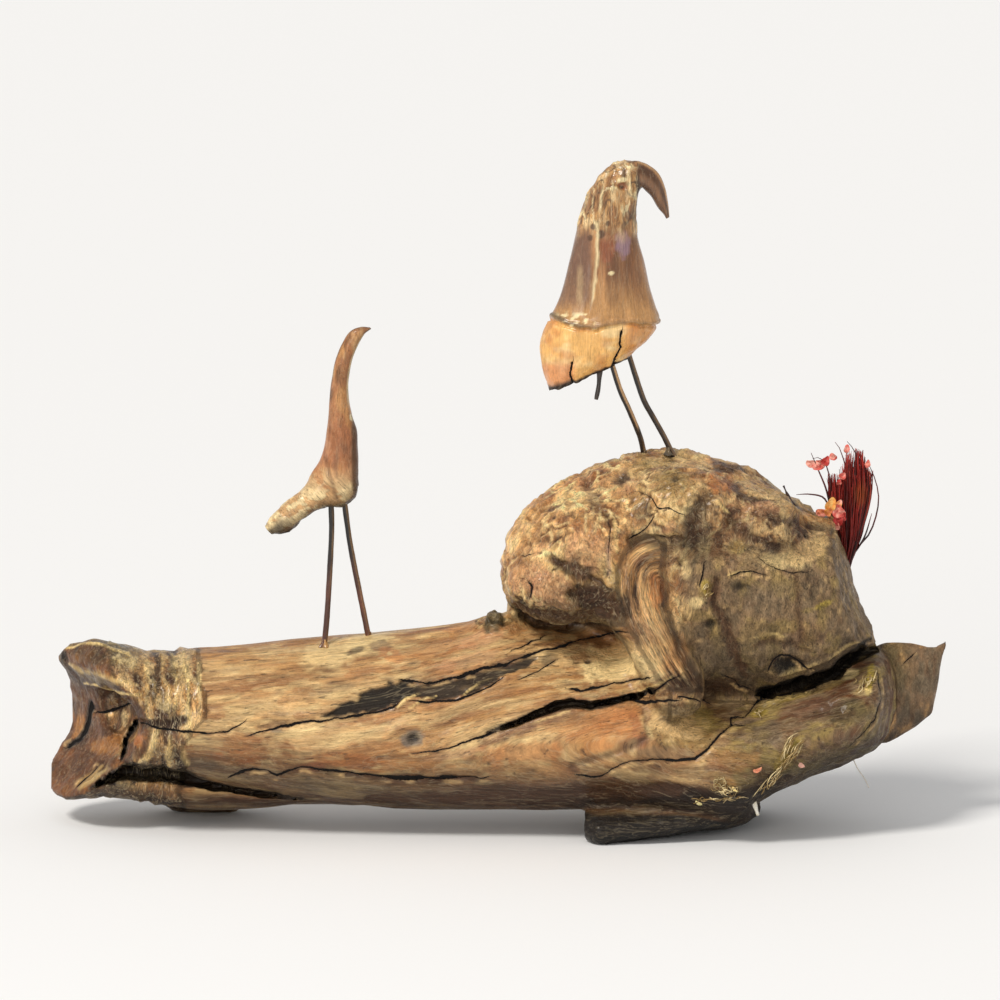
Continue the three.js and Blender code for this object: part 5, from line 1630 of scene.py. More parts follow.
def close_rings(rings):
    count, sides, _ = rings.shape
    points = np.concatenate([rings.reshape(-1, 3), rings[0].mean(0)[None], rings[-1].mean(0)[None]])
    faces = []
    for r in range(count - 1):
        for s in range(sides):
            n = (s + 1) % sides
            faces.append((r * sides + s, r * sides + n, (r + 1) * sides + n))
            faces.append((r * sides + s, (r + 1) * sides + n, (r + 1) * sides + s))
    first, last, end = count * sides, count * sides + 1, (count - 1) * sides
    for s in range(sides):
        n = (s + 1) % sides
        faces.append((first, n, s))
        faces.append((last, end + s, end + n))
    return points, np.array(faces)


def together(parts):
    """Several closed shells as one."""
    points, faces, start = [], [], 0
    for part_points, part_faces in parts:
        points.append(part_points)
        faces.append(np.asarray(part_faces) + start)
        start += len(part_points)
    return np.concatenate(points), np.concatenate(faces)


# The carved birds, rib by rib: [x, z of one edge, x, z of the other edge, half thickness].
LEFT_BIRD = [
    [-78.4, 104, -75.7, 101.2, 1.6],
    [-75.7, 108.4, -71.3, 101.9, 3.2],
    [-71.2, 112.9, -65.5, 106.7, 3.8],
    [-65.5, 117.4, -58.8, 110.5, 4.3],
    [-63.2, 121.8, -52.1, 111.2, 4.8],
    [-60.8, 126.2, -48, 114.9, 5.2],
    [-58.9, 131.1, -47.4, 124.3, 5],
    [-58.1, 137, -47.8, 136.3, 4.5],
    [-57.7, 140.4, -49.5, 142.5, 4],
    [-57.1, 146.6, -50.5, 148.4, 3.6],
    [-56.1, 155.2, -50.6, 155.2, 3.1],
    [-54.8, 162.1, -49.3, 162.1, 2.7],
    [-52.2, 168, -47, 167, 2.4],
    [-49.3, 171.4, -45.2, 170, 1.9],
    [-46.3, 172.5, -44, 171.1, 1.2],
    [-43.6, 172.3, -43.1, 171.8, 0.5],
]
RIGHT_BIRD = [
    [16.7, 150.1, 43.3, 161.9, 6.5],
    [15, 156.2, 47.6, 165.6, 9],
    [13.6, 163.8, 52.2, 170.4, 10.2],
    [14.5, 170.7, 53.9, 174.9, 10.4],
    [17.7, 176.9, 52.4, 179.3, 9.2],
    [21, 184.4, 50.2, 185.5, 8.3],
    [23.5, 194.8, 48.6, 194.8, 7.6],
    [25.8, 204, 46.7, 203, 7.1],
    [28, 213, 46.2, 211.3, 6.6],
    [30.2, 218.9, 46.3, 215.4, 6.2],
    [34.4, 224.8, 46.7, 217.8, 5.6],
    [39.2, 228.2, 47.3, 219.2, 5],
    [44, 229.2, 48, 219.9, 4.3],
    [49, 228.2, 49, 218.9, 3.6],
    [53.1, 224.7, 51.1, 216.8, 2.9],
    [55.4, 219.6, 53.4, 213, 2.2],
    [56.4, 214.4, 55.4, 210.6, 1.5],
    [56.9, 209.8, 56.1, 209.3, 0.5],
]
LEFT_BIRD_Y = -4
RIGHT_BIRD_Y = -2
LEFT_BIRD_BASE = (172, 114, 70)
RIGHT_BIRD_BASE = (120, 76, 40)
BIRD_RINGS = 300


def bird_shell(ribs, y, rings, sides):
    """A closed skin over smooth ribs, with each point's share along the bird and across it."""
    table = np.array(ribs, float)
    middle = (table[:, 0:2] + table[:, 2:4]) / 2
    step = np.linalg.norm(np.diff(middle, axis=0), axis=1)
    at = np.concatenate([[0], np.cumsum(step)])
    where = np.linspace(0, at[-1], rings)
    ax, az, bx, bz, thick = smooth_rows(np.concatenate([at[:, None], table], axis=1))(where)
    turn = np.linspace(0, 2 * np.pi, sides, endpoint=False)
    across = (1 - np.cos(turn)) / 2
    x = ax[:, None] + (bx - ax)[:, None] * across
    z = az[:, None] + (bz - az)[:, None] * across
    depth = -np.maximum(thick, 0.3)[:, None] * np.sin(turn)
    shell = np.stack([x, y + depth, z], axis=2)
    points, faces = close_rings(shell)
    length = np.concatenate([np.repeat(where / at[-1], sides), [0, 1]])
    return points, faces, length, np.concatenate([np.tile(across, rings), [0.5, 0.5]])


def spot(x, t, at_x, at_t, wide, tall):
    """1 in the middle of a small ragged oval on the front, 0 outside it."""
    place = np.stack([x, t, 0 * x], axis=1)
    away = np.hypot((x - at_x) / wide, (t - at_t) / tall)
    return smoothly(1.2, 0.7, away + 0.35 * noise(place, 1.2, 221))


# The lower edge of the right bird's polished body, above its pale foot: x, and height t up the front.
BODY_EDGE = [[14, 17, 23.7, 32, 36, 45, 53], [172, 171, 168, 166.8, 167.9, 169, 168.5]]
# Its spine, its cracks and the pits of its neck: points [s, t, half width], and [s, t, radius].
SPINE = [
    [36.6, 221.5, 1], [34.3, 210.9, 1], [33.5, 203.6, 1], [32.9, 196.4, 1], [32.7, 188.6, 1],
    [31.5, 177.4, 1], [30.4, 172.3, 1],
]
BIRD_CRACKS = [
    [[41, 166, 0.2], [40.5, 162.3, 0.3], [41, 160.6, 0.6], [38.8, 156.1, 0.6], [37.7, 152.8, 0.4]],
    [[24.3, 155.6, 0.2], [23.7, 151.7, 0.4], [24.8, 148.3, 0.5]],
]
BIRD_PITS = [[31.4, 201.5, 1.2], [34, 199, 1.4], [36.4, 202.4, 0.9], [30.4, 197.6, 1]]
# A line across the left bird's body, where two flat sides meet.
FACET = [[-58.6, 124, 1], [-57.7, 120.7, 1], [-54.7, 110.3, 1]]


def carving(name, ribs, y, sides):
    """A bird's mesh with its points, normals and t, how far each faces the front, and its place."""
    points, faces, length, across = bird_shell(ribs, y, BIRD_RINGS, sides)
    mesh = new_mesh(name, points, faces)
    points, normals = points_of(mesh), normals_of(mesh)
    front = smoothly(-0.1, 0.3, normals @ TOWARDS_VIEWER)
    return mesh, points, normals, up_the_front(points[:, 1], points[:, 2]), front, length, across


def right_bird_piece(material):
    mesh, points, normals, t, front, length, across = carving(
        "right_bird_carving", RIGHT_BIRD, RIGHT_BIRD_Y, 150)
    x = points[:, 0]
    head = smoothly(196, 204, t + 2 * noise(points, 4, 208)) * smoothly(48, 45.6, x)
    edge = np.interp(x, *BODY_EDGE) + 0.7 * noise(points, 3, 204)
    band = smoothly(0.4, -0.4, t - edge)
    flaky = np.abs(noise(points, (2.2, 3, 5.5), 217))
    dashes = smoothly(0.16, 0.04, flaky) * smoothly(-0.3, 0.2, noise(points, 4, 218))
    height = 0.3 * noise(points, (3, 3, 18), 201) + 0.25 * noise(points, (7, 7, 12), 202)
    height += head * (0.6 * rough(points, (3.4, 3.4, 4.4), 203) + 0.35 * dashes)
    height += band * (0.5 * rough(points, (3.4, 3.4, 5), 205) - 0.1)
    height += (0.5 * smoothly(1.2, 0.2, np.abs(t - edge - 1))
               - 0.8 * smoothly(1.0, 0, np.abs(t - edge + 0.6)))
    ridge = along_line(x + 0.3 * noise(points, 3, 209), t, SPINE)[0]
    height += (0.6 * smoothly(2, 0, ridge) * front
               - 0.5 * smoothly(6, 2, np.abs(x - 41)) * front * (1 - band))
    crack = np.full(len(points), FAR)
    side = np.ones(len(points))
    for line in BIRD_CRACKS:
        distance, which, _ = along_line(x, t + 0.4 * noise(points, 2, 206), line)
        distance = np.where(front > 0.3, distance, FAR)
        side = np.where(distance < crack, which, side)
        crack = np.minimum(crack, distance)
    height -= 0.9 * smoothly(1.0, 0.1, crack) * front
    eye = spot(x, t, 41.3, 215, 1.7, 1.5) * front
    height -= 0.9 * eye
    height += 0.8 * rough(points, 3, 207) * smoothly(0.06, 0.0, length)
    set_points(mesh, points + normals * height[:, None])

    paint = tinted(all_over(points, RIGHT_BIRD_BASE), "warm_tan",
                   0.8 * smoothly(-0.1, 0.6, noise(points, (3, 3, 20), 211)))
    paint = tinted(paint, "golden", 0.7 * smoothly(188, 174, t + 4 * noise(points, 6, 212)))
    middle = smoothly(172, 178, t) * smoothly(204, 198, t)
    paint = painted(paint, [
        ("purple_brown", 0.75 * smoothly(32.5, 29.5, x) * middle),
        ("pale_tan", 0.3 * smoothly(1.6, 0.4, np.abs(x - 27)) * smoothly(174, 178, t)
         * smoothly(190, 186, t)),
        ("red_brown", 0.7 * spot(x, t, 36.4, 194, 2.6, 5) * front),
        # a painted violet sheen on the body
        ("violet", 0.7 * spot(x, t, 41.6, 195.4, 2.7, 4.4) * front),
        ("brown", 0.5 * smoothly(44.8, 45.6, x) * middle),
        ("golden", 0.9 * head),
        ("brown", 0.85 * head * smoothly(0.0, 0.3, rough(points, (3, 3, 5), 214))),
        ("pale_tan", 0.85 * head * smoothly(-0.05, -0.35, rough(points, (3, 3, 5), 214))),
        ("dark_brown", 0.8 * head * smoothly(0.14, 0.02, np.abs(noise(points, (2.6, 3, 5), 219)))),
        ("cream", 0.9 * head * dashes),
    ])
    for pit_x, pit_t, size in BIRD_PITS:
        paint = tinted(paint, "dark_brown", 0.85 * spot(x, t, pit_x, pit_t, size, size) * front)
    paint = painted(paint, [
        ("amber", band),
        ("cream", 0.5 * band * smoothly(0.1, 0.5, rough(points, (5, 5, 4), 215))),
        ("orange", 0.6 * band * smoothly(0.0, -0.5, rough(points, (6, 5, 5), 220))),
        ("salmon", 0.85 * band * smoothly(157, 154, t) * smoothly(27, 23, x)),
        ("orange", 0.55 * band * smoothly(40, 44, x)),
    ])
    shadow = smoothly(1.6, 0.2, np.abs(t - edge - 0.4 - smoothly(30, 18, x)))
    paint = tinted(paint, "olive_dark", shadow * mix(0.3, 0.75, smoothly(34, 22, x)))
    glints = smoothly(0.2, 0.5, noise(points, (1.6, 2, 1), 222)) * smoothly(18, 21, x) * smoothly(33, 31, x)
    paint = tinted(paint, "cream", 0.95 * glints * smoothly(165.4, 167, t) * smoothly(173.6, 171.4, t))
    # Painted glints below the head.
    paint = tinted(paint, "cream", 0.8 * spot(x, t, 42.4, 208, 1.5, 3.6)
                   * smoothly(-0.2, 0.2, noise(points, (1, 1, 2), 223)))
    # The hook's face is painted dark, partly its own colour and partly painted shade, with a painted golden
    # highlight along its outer rim; the crease where it meets the head gets near-black painted shade.
    hook = smoothly(45.8, 46.8, x) * smoothly(202, 205, t)
    paint = painted(paint, [
        ("dark_brown", 0.9 * hook * smoothly(0.05, 0.15, across)),
        ("brown", 0.45 * hook * smoothly(0.3, 0.5, across) * smoothly(0.8, 0.6, across)),
        ("cave", 0.7 * smoothly(1.0, 0.3, np.abs(x - 46.4)) * smoothly(204, 207, t)
         * smoothly(222, 218, t)),
        ("golden", 0.8 * hook * smoothly(0.1, 0.03, across)),
        ("cave", smoothly(0.024 + 0.01 * noise(points, 2, 224), 0.008, length)),
        ("red_brown", 0.9 * eye),
        ("cave", 0.8 * spot(x, t, 41, 214.6, 0.9, 0.7)),
        ("cream", 0.95 * spot(x, t, 41, 217, 2, 0.9) * front),
        ("cream", 0.95 * spot(x, t, 37.5, 185.8, 1, 0.7) * front),
    ])
    # A painted highlight runs along the spine's ridge, in broken stretches.
    broken = smoothly(-0.3, 0.2, noise(points, (3, 3, 5), 225))
    paint = tinted(paint, "cream", 0.75 * smoothly(0.7, 0.2, ridge) * front * (1 - band) * broken)
    roughness = 0.22 + 0.16 * head + 0.18 * band + 0.05 * noise(points, 4, 216)
    set_paint(mesh, paint, roughness)
    set_vector(mesh, "grain", points[:, [2, 0, 1]] / np.array([9, 1, 1]))
    detail = [mix(0.3, 0.5, head), 0.1 + 0.3 * head, mix(0.1, 0.4, head)]
    set_vector(mesh, "detail", np.stack(detail, axis=1))
    set_vector(mesh, "crack", np.stack([crack * side, crack, np.full(len(points), 0.3)], axis=1))
    new_piece(mesh, "right_bird", material, "right_bird")


def left_bird_piece(material):
    mesh, points, normals, t, front, length, across = carving(
        "left_bird_carving", LEFT_BIRD, LEFT_BIRD_Y, 110)
    x = points[:, 0]
    lean = points[:, [2, 0, 1]].copy()
    lean[:, 1] += 0.9 * np.minimum(points[:, 2] - 122, 0)
    tail = smoothly(121, 109, t + 3 * noise(points, 3, 305))
    flakes = bark_height(points, (3.6, 3, 2.4), 306)
    height = 0.16 * noise(lean, (14, 2, 2), 301) + 0.15 * noise(points, 5, 302)
    height += tail * (0.22 * flakes + 0.2 * rough(points, 2, 303) - 0.15)
    height += 0.6 * smoothly(0.07, 0, length) * rough(points, 1.6, 304)
    chip = spot(x, t, -49.7, 137.5, 0.7, 1.2) * front
    height -= 0.4 * chip
    facet = along_line(x, t, FACET)[0]
    height -= 0.35 * smoothly(1.4, 0, facet) * front
    set_points(mesh, points + normals * height[:, None])

    blotch = rough(points, (4, 4, 8), 311)
    paint = tinted(all_over(points, LEFT_BIRD_BASE), "brown", 0.6 * smoothly(0.0, 0.4, blotch))
    paint = tinted(paint, "golden", 0.5 * smoothly(0.0, -0.4, blotch))
    body = smoothly(140, 132, t)
    paint = painted(paint, [
        ("red_brown", 0.4 * body * (1 - tail)),
        ("pink_tan", 0.35 * body * smoothly(0.0, 0.5, rough(points, 5, 315))),
        ("warm_tan", 0.4 * smoothly(126, 118, t)),
        ("tan", 0.85 * tail),
        ("cream", 0.7 * tail * smoothly(0.2, 1.1, flakes)),
        ("brown", 0.5 * tail * smoothly(0.2, 0.6, rough(points, (3, 3, 2), 312))),
        ("dark_brown", 0.4 * (1 - tail) * smoothly(0.35, 0.7, noise(lean, (6, 1.4, 1.4), 313))),
        ("dark_brown", 0.6 * tail * smoothly(0.4, 0.7, rough(points, 1.8, 316, 2))),
    ])
    # Painted shade down the right side of the breast and along the tail's lower edge; the facet line is
    # darker too.
    breast = smoothly(109, 113, t) * smoothly(142, 139, t)
    paint = painted(paint, [
        ("dark_brown", 0.9 * smoothly(-50.2, -49, x) * breast),
        ("dark_brown", 0.8 * smoothly(0.86, 0.97, across) * smoothly(120, 114, t)),
        ("dark_brown", 0.4 * smoothly(0.9, 0.2, facet) * front),
    ])
    neck = smoothly(140, 144, t)
    worn = rough(lean, (9, 2.6, 2.6), 318)
    paint = painted(paint, [
        ("dark_brown", 0.5 * neck * smoothly(0.05, 0.4, worn)),
        ("tan", 0.7 * neck * smoothly(-0.05, -0.4, worn)),
        ("cream", 0.6 * neck * smoothly(0.86, 0.95, across) * front),
        ("dark_brown", 0.4 * neck * smoothly(0.1, 0.02, across)),
    ])
    tip = smoothly(0.12 + 0.04 * noise(points, 2, 317), 0.04, length)
    paint = painted(paint, [
        ("cave", 0.8 * tip * smoothly(0.1, 0.5, across)),
        ("dark_brown", 0.5 * smoothly(0.94, 0.99, length)),
        ("cream", 0.95 * chip),
    ])
    # Painted shade on the faces that turn downwards.
    paint *= mix(0.3, 1.0, smoothly(-0.8, 0.1, normals[:, 2]))[:, None]
    set_paint(mesh, paint, 0.38 + 0.1 * noise(points, 3, 314))
    set_vector(mesh, "grain", lean / np.array([4, 1, 1]))
    detail = [mix(0.3, 0.5, tail), np.full(len(tail), 0.1), mix(0.25, 0.6, tail)]
    set_vector(mesh, "detail", np.stack(detail, axis=1))
    set_vector(mesh, "crack", np.tile([FAR, FAR, 0.0], (len(points), 1)))
    new_piece(mesh, "left_bird", material, "left_bird")


# Wire legs, from the log to the body.
LEGS = {
    "left_bird_leg_left": [
        [-60.1, -6, 55.6], [-58.9, -6, 64.2], [-58, -6, 73.4], [-56.9, -5, 91.7], [-56.4, -5, 103],
        [-56.6, -4.5, 112]],
    "left_bird_leg_right": [
        [-43, -1.1, 58.5], [-44.2, -1.5, 65.9], [-45.8, -2, 74.4], [-48.2, -3, 86.8], [-50.4, -3.5, 99.1],
        [-52.2, -4, 113]],
    "right_bird_leg_left": [
        [50, 4.8, 121], [48.4, 4, 128.4], [47.3, 3, 133.2], [43.6, 0.5, 143], [40.7, -1, 149.8],
        [37.9, -2.5, 159]],
    "right_bird_leg_right": [
        [60.6, 2, 123], [57.6, 2, 128.9], [55.2, 2, 133.8], [51.8, 2, 140], [48.4, 1, 146.6],
        [43.2, 0, 163]],
}
WIRE_RADIUS = 0.95


def leg_piece(name, points, material):
    path = curve_through(points, 160)
    radii = WIRE_RADIUS * (1 + 0.05 * noise(np.stack([path[:, 2]] * 3, axis=1), 5, 401))
    shell, faces = tube(path, radii, 20)
    mesh = new_mesh(name + "_wire", shell, faces)
    moved = points_of(mesh)
    moved += normals_of(mesh) * (0.05 * rough(moved, (1.2, 1.2, 3), 402))[:, None]
    set_points(mesh, moved)
    share = smoothly(points[1][2], points[-1][2], moved[:, 2])
    red = linear((92, 50, 34)) if name.startswith("left") else linear((36, 27, 23))
    dark = linear((22, 17, 15))
    patchy = smoothly(-0.3, 0.6, rough(moved, (2, 2, 7), 403))
    paint = mix(red, dark, smoothly(0.2, 0.8, share)[:, None]) * mix(0.6, 1.25, patchy)[:, None]
    lit = smoothly(0.0, -0.5, normals_of(mesh)[:, 0]) * smoothly(-0.6, 0.3, rough(moved, (3, 3, 9), 404))
    bright = 0.8 if name == "right_bird_leg_left" else 0.25
    paint = tinted(paint, (226, 178, 124), bright * lit)
    set_paint(mesh, paint, 0.3 + 0.12 * patchy)
    new_piece(mesh, "wire", material, name)


def wire_material():
    nodes = Nodes("lacquered_wire")
    paint = nodes.attribute("paint")
    place = nodes.add("TexCoord").outputs["Object"]
    grit = nodes.noise(place, 1400.0, 3.0, 0.6)
    colour = nodes.times(paint.outputs["Color"], nodes.spread(grit, 0.3, 0.7, 0.75, 1.25))
    return nodes.finish(
        Base_Color=colour, Metallic=0.3, Coat_Weight=0.4, Coat_Roughness=0.2,
        Roughness=nodes.maths("ADD", paint.outputs["Alpha"], nodes.spread(grit, 0.3, 0.7, -0.06, 0.1)),
        Normal=nodes.bump(grit, 0.0001))


def spur_piece(material):
    path = curve_through([[34.1, 0, 160], [33.8, 0, 157.5], [33.3, -0.5, 151], [32.5, -1, 146.9]], 40)
    share = np.linspace(0, 1, 40)
    shell, faces = tube(path, 1.15 - 0.55 * share + 0.12 * np.sin(9 * share), 18)
    mesh = new_mesh("right_bird_spur_wire", shell, faces)
    moved = points_of(mesh)
    dark = mix(0.7, 1.3, smoothly(-0.4, 0.5, rough(moved, 2, 405)))
    set_paint(mesh, linear((60, 50, 44)) * dark[:, None], 0.4)
    new_piece(mesh, "wire", material, "right_bird_spur")


# Glue at the foot of each leg: the foot, the radius, and the dark and the light colour.
GLUE_DROPS = {
    "glue_left_bird_left": ([-58.9, -6, 64.6], 1.9, (104, 66, 38), (196, 148, 84)),
    "glue_left_bird_right": ([-44.1, -1.4, 66.1], 1.9, (104, 66, 38), (206, 160, 96)),
    "glue_right_bird_left": ([48.6, 4.1, 127.4], 1.8, (84, 66, 44), (136, 112, 76)),
    "glue_right_bird_right": ([57, 2, 129], 2.1, (72, 60, 42), (116, 98, 68)),
}


def glue_piece(name, foot, radius, dark, light, material):
    count, sides = 18, 28
    turn = np.linspace(0, 2 * np.pi, sides, endpoint=False)
    share = np.linspace(0, 1, count)
    reach = mix(radius, WIRE_RADIUS * 1.02, smoothly(0, 0.75, share) ** 0.6)
    rings = np.zeros((count, sides, 3))
    foot = np.array(foot, float)
    for i in range(count):
        wave = 1 + 0.16 * np.sin(3 * turn + foot[0]) * (1 - share[i]) + 0.1 * np.sin(5 * turn + foot[2])
        rings[i, :, 0] = foot[0] + reach[i] * wave * np.cos(turn)
        rings[i, :, 1] = foot[1] + reach[i] * wave * np.sin(turn)
        rings[i, :, 2] = foot[2] - 1.6 + 2.6 * share[i]
    shell, faces = close_rings(rings)
    mesh = new_mesh(name, shell, faces)
    moved = points_of(mesh)
    tone = tinted(linear(dark), light, smoothly(-0.4, 0.4, rough(moved, 1.6, 411)))
    set_paint(mesh, tone, 0.3)
    new_piece(mesh, "driftwood", material)


# The dyed grass: stems fan out from one root.
GRASS_Y = 14
STEM_COUNT = 520
STEM_ROOT = 80  # the height at which every stem starts
STEM_BENDS = 6
TUFT_MIDDLE, TUFT_HALF = 118.1, 7.8  # along X, at the tips
# The bundle's outline from root to tip: [z, lowest x, highest x, half depth].
GRASS_OUTLINE = [
    [80, 114.2, 117, 1.5],
    [86, 114.8, 118, 2.3],
    [95, 114.3, 121.2, 3.5],
    [101, 112.9, 123.1, 4.2],
    [107, 111.2, 124.9, 4.8],
    [113.5, 110.5, 125.8, 5.3],
    [119.5, 110.3, 125.9, 5.4],
    [127, 112, 124.6, 4.6],
]
# How high the stems reach, from left to right: x, z.
GRASS_TOPS = [
    [110, 113, 113.8, 115.5, 116.5, 118.3, 119.2, 120.2, 122.8, 123.8, 125.6],
    [118, 118, 116.5, 121, 125.2, 126, 121.5, 126.4, 126.4, 121.5, 119.5],
]


def stem(path, radius):
    count = 14
    line = curve_through(path, count)
    share = np.linspace(0, 1, count)
    thickness = radius * np.minimum(1, 0.55 + 2 * share) * (1 - 0.75 * share ** 3)
    return tube(line, thickness, 5)


def grass_piece(material):
    random = np.random.default_rng(7)
    outline = smooth_rows(GRASS_OUTLINE)
    stems, tones = [], []
    for _ in range(STEM_COUNT):
        across, depth = random.uniform(-1, 1, 2)
        depth *= math.sqrt(max(0.02, 1 - across * across))
        top = np.interp(TUFT_MIDDLE + TUFT_HALF * across, *GRASS_TOPS)
        top -= random.uniform(0, 1) ** 2 * 11
        heights = np.linspace(STEM_ROOT, top, STEM_BENDS)
        low, high, half = outline(heights)
        bend = random.uniform(-0.7, 0.7, STEM_BENDS) * np.linspace(0.2, 1, STEM_BENDS)
        x = (low + high) / 2 + across * 0.93 * (high - low) / 2 + bend
        y = GRASS_Y + depth * half + random.uniform(-0.3, 0.3, STEM_BENDS)
        path = np.stack([x, y, heights], axis=1)
        stems.append(stem(path, random.uniform(0.2, 0.4)))
        tones.append(random.uniform(0, 1))
    points, faces = together(stems)
    mesh = new_mesh("red_grass_stems", points, faces)
    tone = np.repeat(tones, len(stems[0][0]))
    share = smoothly(82, 126, points[:, 2])
    paint = painted(linear((98, 24, 20)), [
        ((170, 46, 36), smoothly(0.15, 0.8, tone)),
        ((66, 26, 24), smoothly(0.14, 0.08, tone)),
        ((222, 112, 86), 0.8 * smoothly(0.9, 0.97, tone)),
    ])
    brown = np.hypot((points[:, 0] - 121.6) / 2.6, (points[:, 2] - 112) / 4)
    paint = tinted(paint, (170, 84, 34), 0.6 * smoothly(1.2, 0.5, brown))
    paint = paint * mix(0.35, 1.1, share)[:, None]
    set_paint(mesh, paint, 0.45)
    new_piece(mesh, "grass", material, "red_grass")


# Single stems that stand away from the bundle: their points and the radius.
STRAY_STEMS = {
    "loose_stem_arc": ([[117, 14, 82], [120, 13, 92], [124.6, 12, 98], [127.2, 12, 105.6],
                        [127.6, 12, 112], [125.4, 13, 119.5], [122.8, 13, 123.6]], 0.32),
    "loose_stem_fork": ([[119, 13, 90], [123, 12, 97], [125.4, 12, 105]], 0.34),
    "loose_stem_side": ([[110.9, 6, 105], [110.6, 6.5, 109], [108.8, 6.5, 111.8], [104, 6.5, 112.8],
                         [99.9, 6.5, 112.6]], 0.34),
    "tall_stem_left": ([[113, 14, 96], [110.4, 12, 112], [107, 11, 121], [104.9, 11, 126]], 0.4),
    "tall_stem_mid": ([[117, 14, 100], [117, 14, 118], [114.6, 13, 127], [113, 13, 129.3]], 0.34),
    "tall_stem_right": ([[120.4, 14, 100], [121.4, 14, 118], [119.6, 14, 126], [117, 14, 129.4]], 0.34),
    "hook_stem": ([[112, 14, 106], [111.4, 12, 116], [109.6, 11, 122.6], [107.4, 11, 124.4],
                   [105.4, 11, 124]], 0.3),
}


def stray_stems(material):
    points, faces = together([stem(path, radius) for path, radius in STRAY_STEMS.values()])
    mesh = new_mesh("stray_stems", points, faces)
    share = smoothly(-0.5, 0.6, rough(points, 5, 421))
    paint = tinted(linear((52, 40, 40)), (110, 36, 34), share)
    set_paint(mesh, paint, 0.5)
    new_piece(mesh, "grass", material)

    path = curve_through([[101, 6, 104.6], [98.6, 6, 109.6], [96.8, 6, 113], [95.6, 6, 115.8]], 30)
    share = np.linspace(0, 1, 30)
    shell, faces = tube(path, mix(1.0, 0.25, share) + 0.12 * np.sin(20 * share), 12)
    mesh = new_mesh("loose_stem_stub", shell, faces)
    tone = mix(0.6, 1.2, smoothly(-0.5, 0.5, rough(shell, 2, 422)))
    set_paint(mesh, linear((78, 62, 58)) * tone[:, None], 0.5)
    new_piece(mesh, "grass", material, "loose_stem")


# Crumpled petals of each piece: s and t on the front plane, y, half length, half width, tilt in
# degrees, curl, and the two colours.
CORAL, DEEP_CORAL, RED = (222, 96, 84), (196, 60, 54), (176, 44, 42)
PALE_CORAL, SALMON, PEACH = (248, 176, 158), (238, 150, 130), (252, 204, 120)
ORANGE, BURNT_ORANGE = (242, 162, 76), (216, 122, 74)
PETALS = {
    "petal_high": [
        [105.6, 121.9, 11, 2.5, 1.2, -6, 0.4, SALMON, PALE_CORAL],
        [108.2, 121.7, 11.4, 2.2, 1.7, 8, 0.7, CORAL, SALMON],
        [109.9, 122.9, 10.6, 1.7, 1.4, 52, 0.8, DEEP_CORAL, CORAL],
        [107, 120.7, 10.8, 1.9, 1.0, -12, 0.5, CORAL, PALE_CORAL],
        [112.3, 124.1, 10.6, 1.4, 1.2, -34, 0.8, CORAL, PALE_CORAL],
    ],
    "petal_orange": [
        [111.7, 108.2, 4.6, 2.5, 1.7, 66, 0.8, ORANGE, PEACH],
        [114, 108.1, 4.8, 1.9, 1.2, 48, 0.6, ORANGE, PALE_CORAL],
        [109, 105.5, 4.6, 2.6, 1.3, 4, 0.5, BURNT_ORANGE, SALMON],
        [110.8, 105.6, 4.2, 1.4, 1.3, 30, 0.5, BURNT_ORANGE, ORANGE],
    ],
    "petal_coral": [
        [114.2, 105.6, 4.6, 2.4, 2.0, -36, 1.0, CORAL, PALE_CORAL],
        [115.3, 104.4, 5.2, 2.1, 1.4, -64, 0.8, RED, CORAL],
        [114, 102.8, 4.8, 2.0, 1.6, -80, 0.8, RED, DEEP_CORAL],
        [113.5, 100.8, 5, 1.4, 1.0, -72, 0.5, SALMON, PALE_CORAL],
    ],
    "petal_tip": [[117, 126.9, 9, 1.5, 1.0, 72, 0.5, CORAL, PALE_CORAL]],
    "petal_middle": [
        [115.5, 117.8, 8.4, 1.3, 1.2, 40, 0.6, CORAL, PALE_CORAL],
        [114.3, 115.7, 8.4, 1.1, 0.9, 70, 0.4, DEEP_CORAL, SALMON],
    ],
    "petal_edge": [[124, 121.9, 9.4, 1.5, 0.8, 80, 0.3, CORAL, SALMON]],
}
PETAL_THICKNESS = 0.45


def petal_shell(centre, long, wide, tilt, curl):
    """A curled, crumpled petal as a closed shell."""
    count, sides = 30, 24
    share = np.linspace(-1, 1, count)
    turn = np.linspace(0, 2 * np.pi, sides, endpoint=False)
    half = wide * np.sqrt(np.maximum(1 - share ** 2, 0.004)) * (1 - 0.3 * share)
    u = share[:, None] * long + 0 * turn
    v = half[:, None] * np.cos(turn)
    w = PETAL_THICKNESS / 2 * np.sin(turn) * np.sqrt(np.maximum(1 - share ** 2, 0.02))[:, None]
    w = w + curl * (v / wide) ** 2 - 0.5 * curl * (u / long) ** 2
    flat = np.stack([u.ravel(), v.ravel(), np.full(u.size, centre[0])], axis=1)
    w = w + 0.45 * noise(flat, 0.9, 432).reshape(u.shape)
    v = v + 0.4 * curl * (u / long) ** 2 + 0.25 * noise(flat, 1.1, 433).reshape(u.shape)
    angle = math.radians(tilt)
    return close_rings(np.stack([
        centre[0] + u * math.cos(angle) - v * math.sin(angle),
        centre[1] - w,
        centre[2] + u * math.sin(angle) + v * math.cos(angle)], axis=2))


def petal_piece(name, petals, material, *replaced):
    shells, paints = [], []
    for centre, long, wide, tilt, curl, inner, outer in petals:
        shell, faces = petal_shell(centre, long, wide, tilt, curl)
        shells.append((shell, faces))
        tone = smoothly(-0.3, 0.4, rough(shell, 1.1, 431))
        paints.append(tinted(linear(inner), outer, tone))
    points, faces = together(shells)
    mesh = new_mesh(name, points, faces)
    set_paint(mesh, np.concatenate(paints), 0.6)
    new_piece(mesh, "petal", material, *replaced)


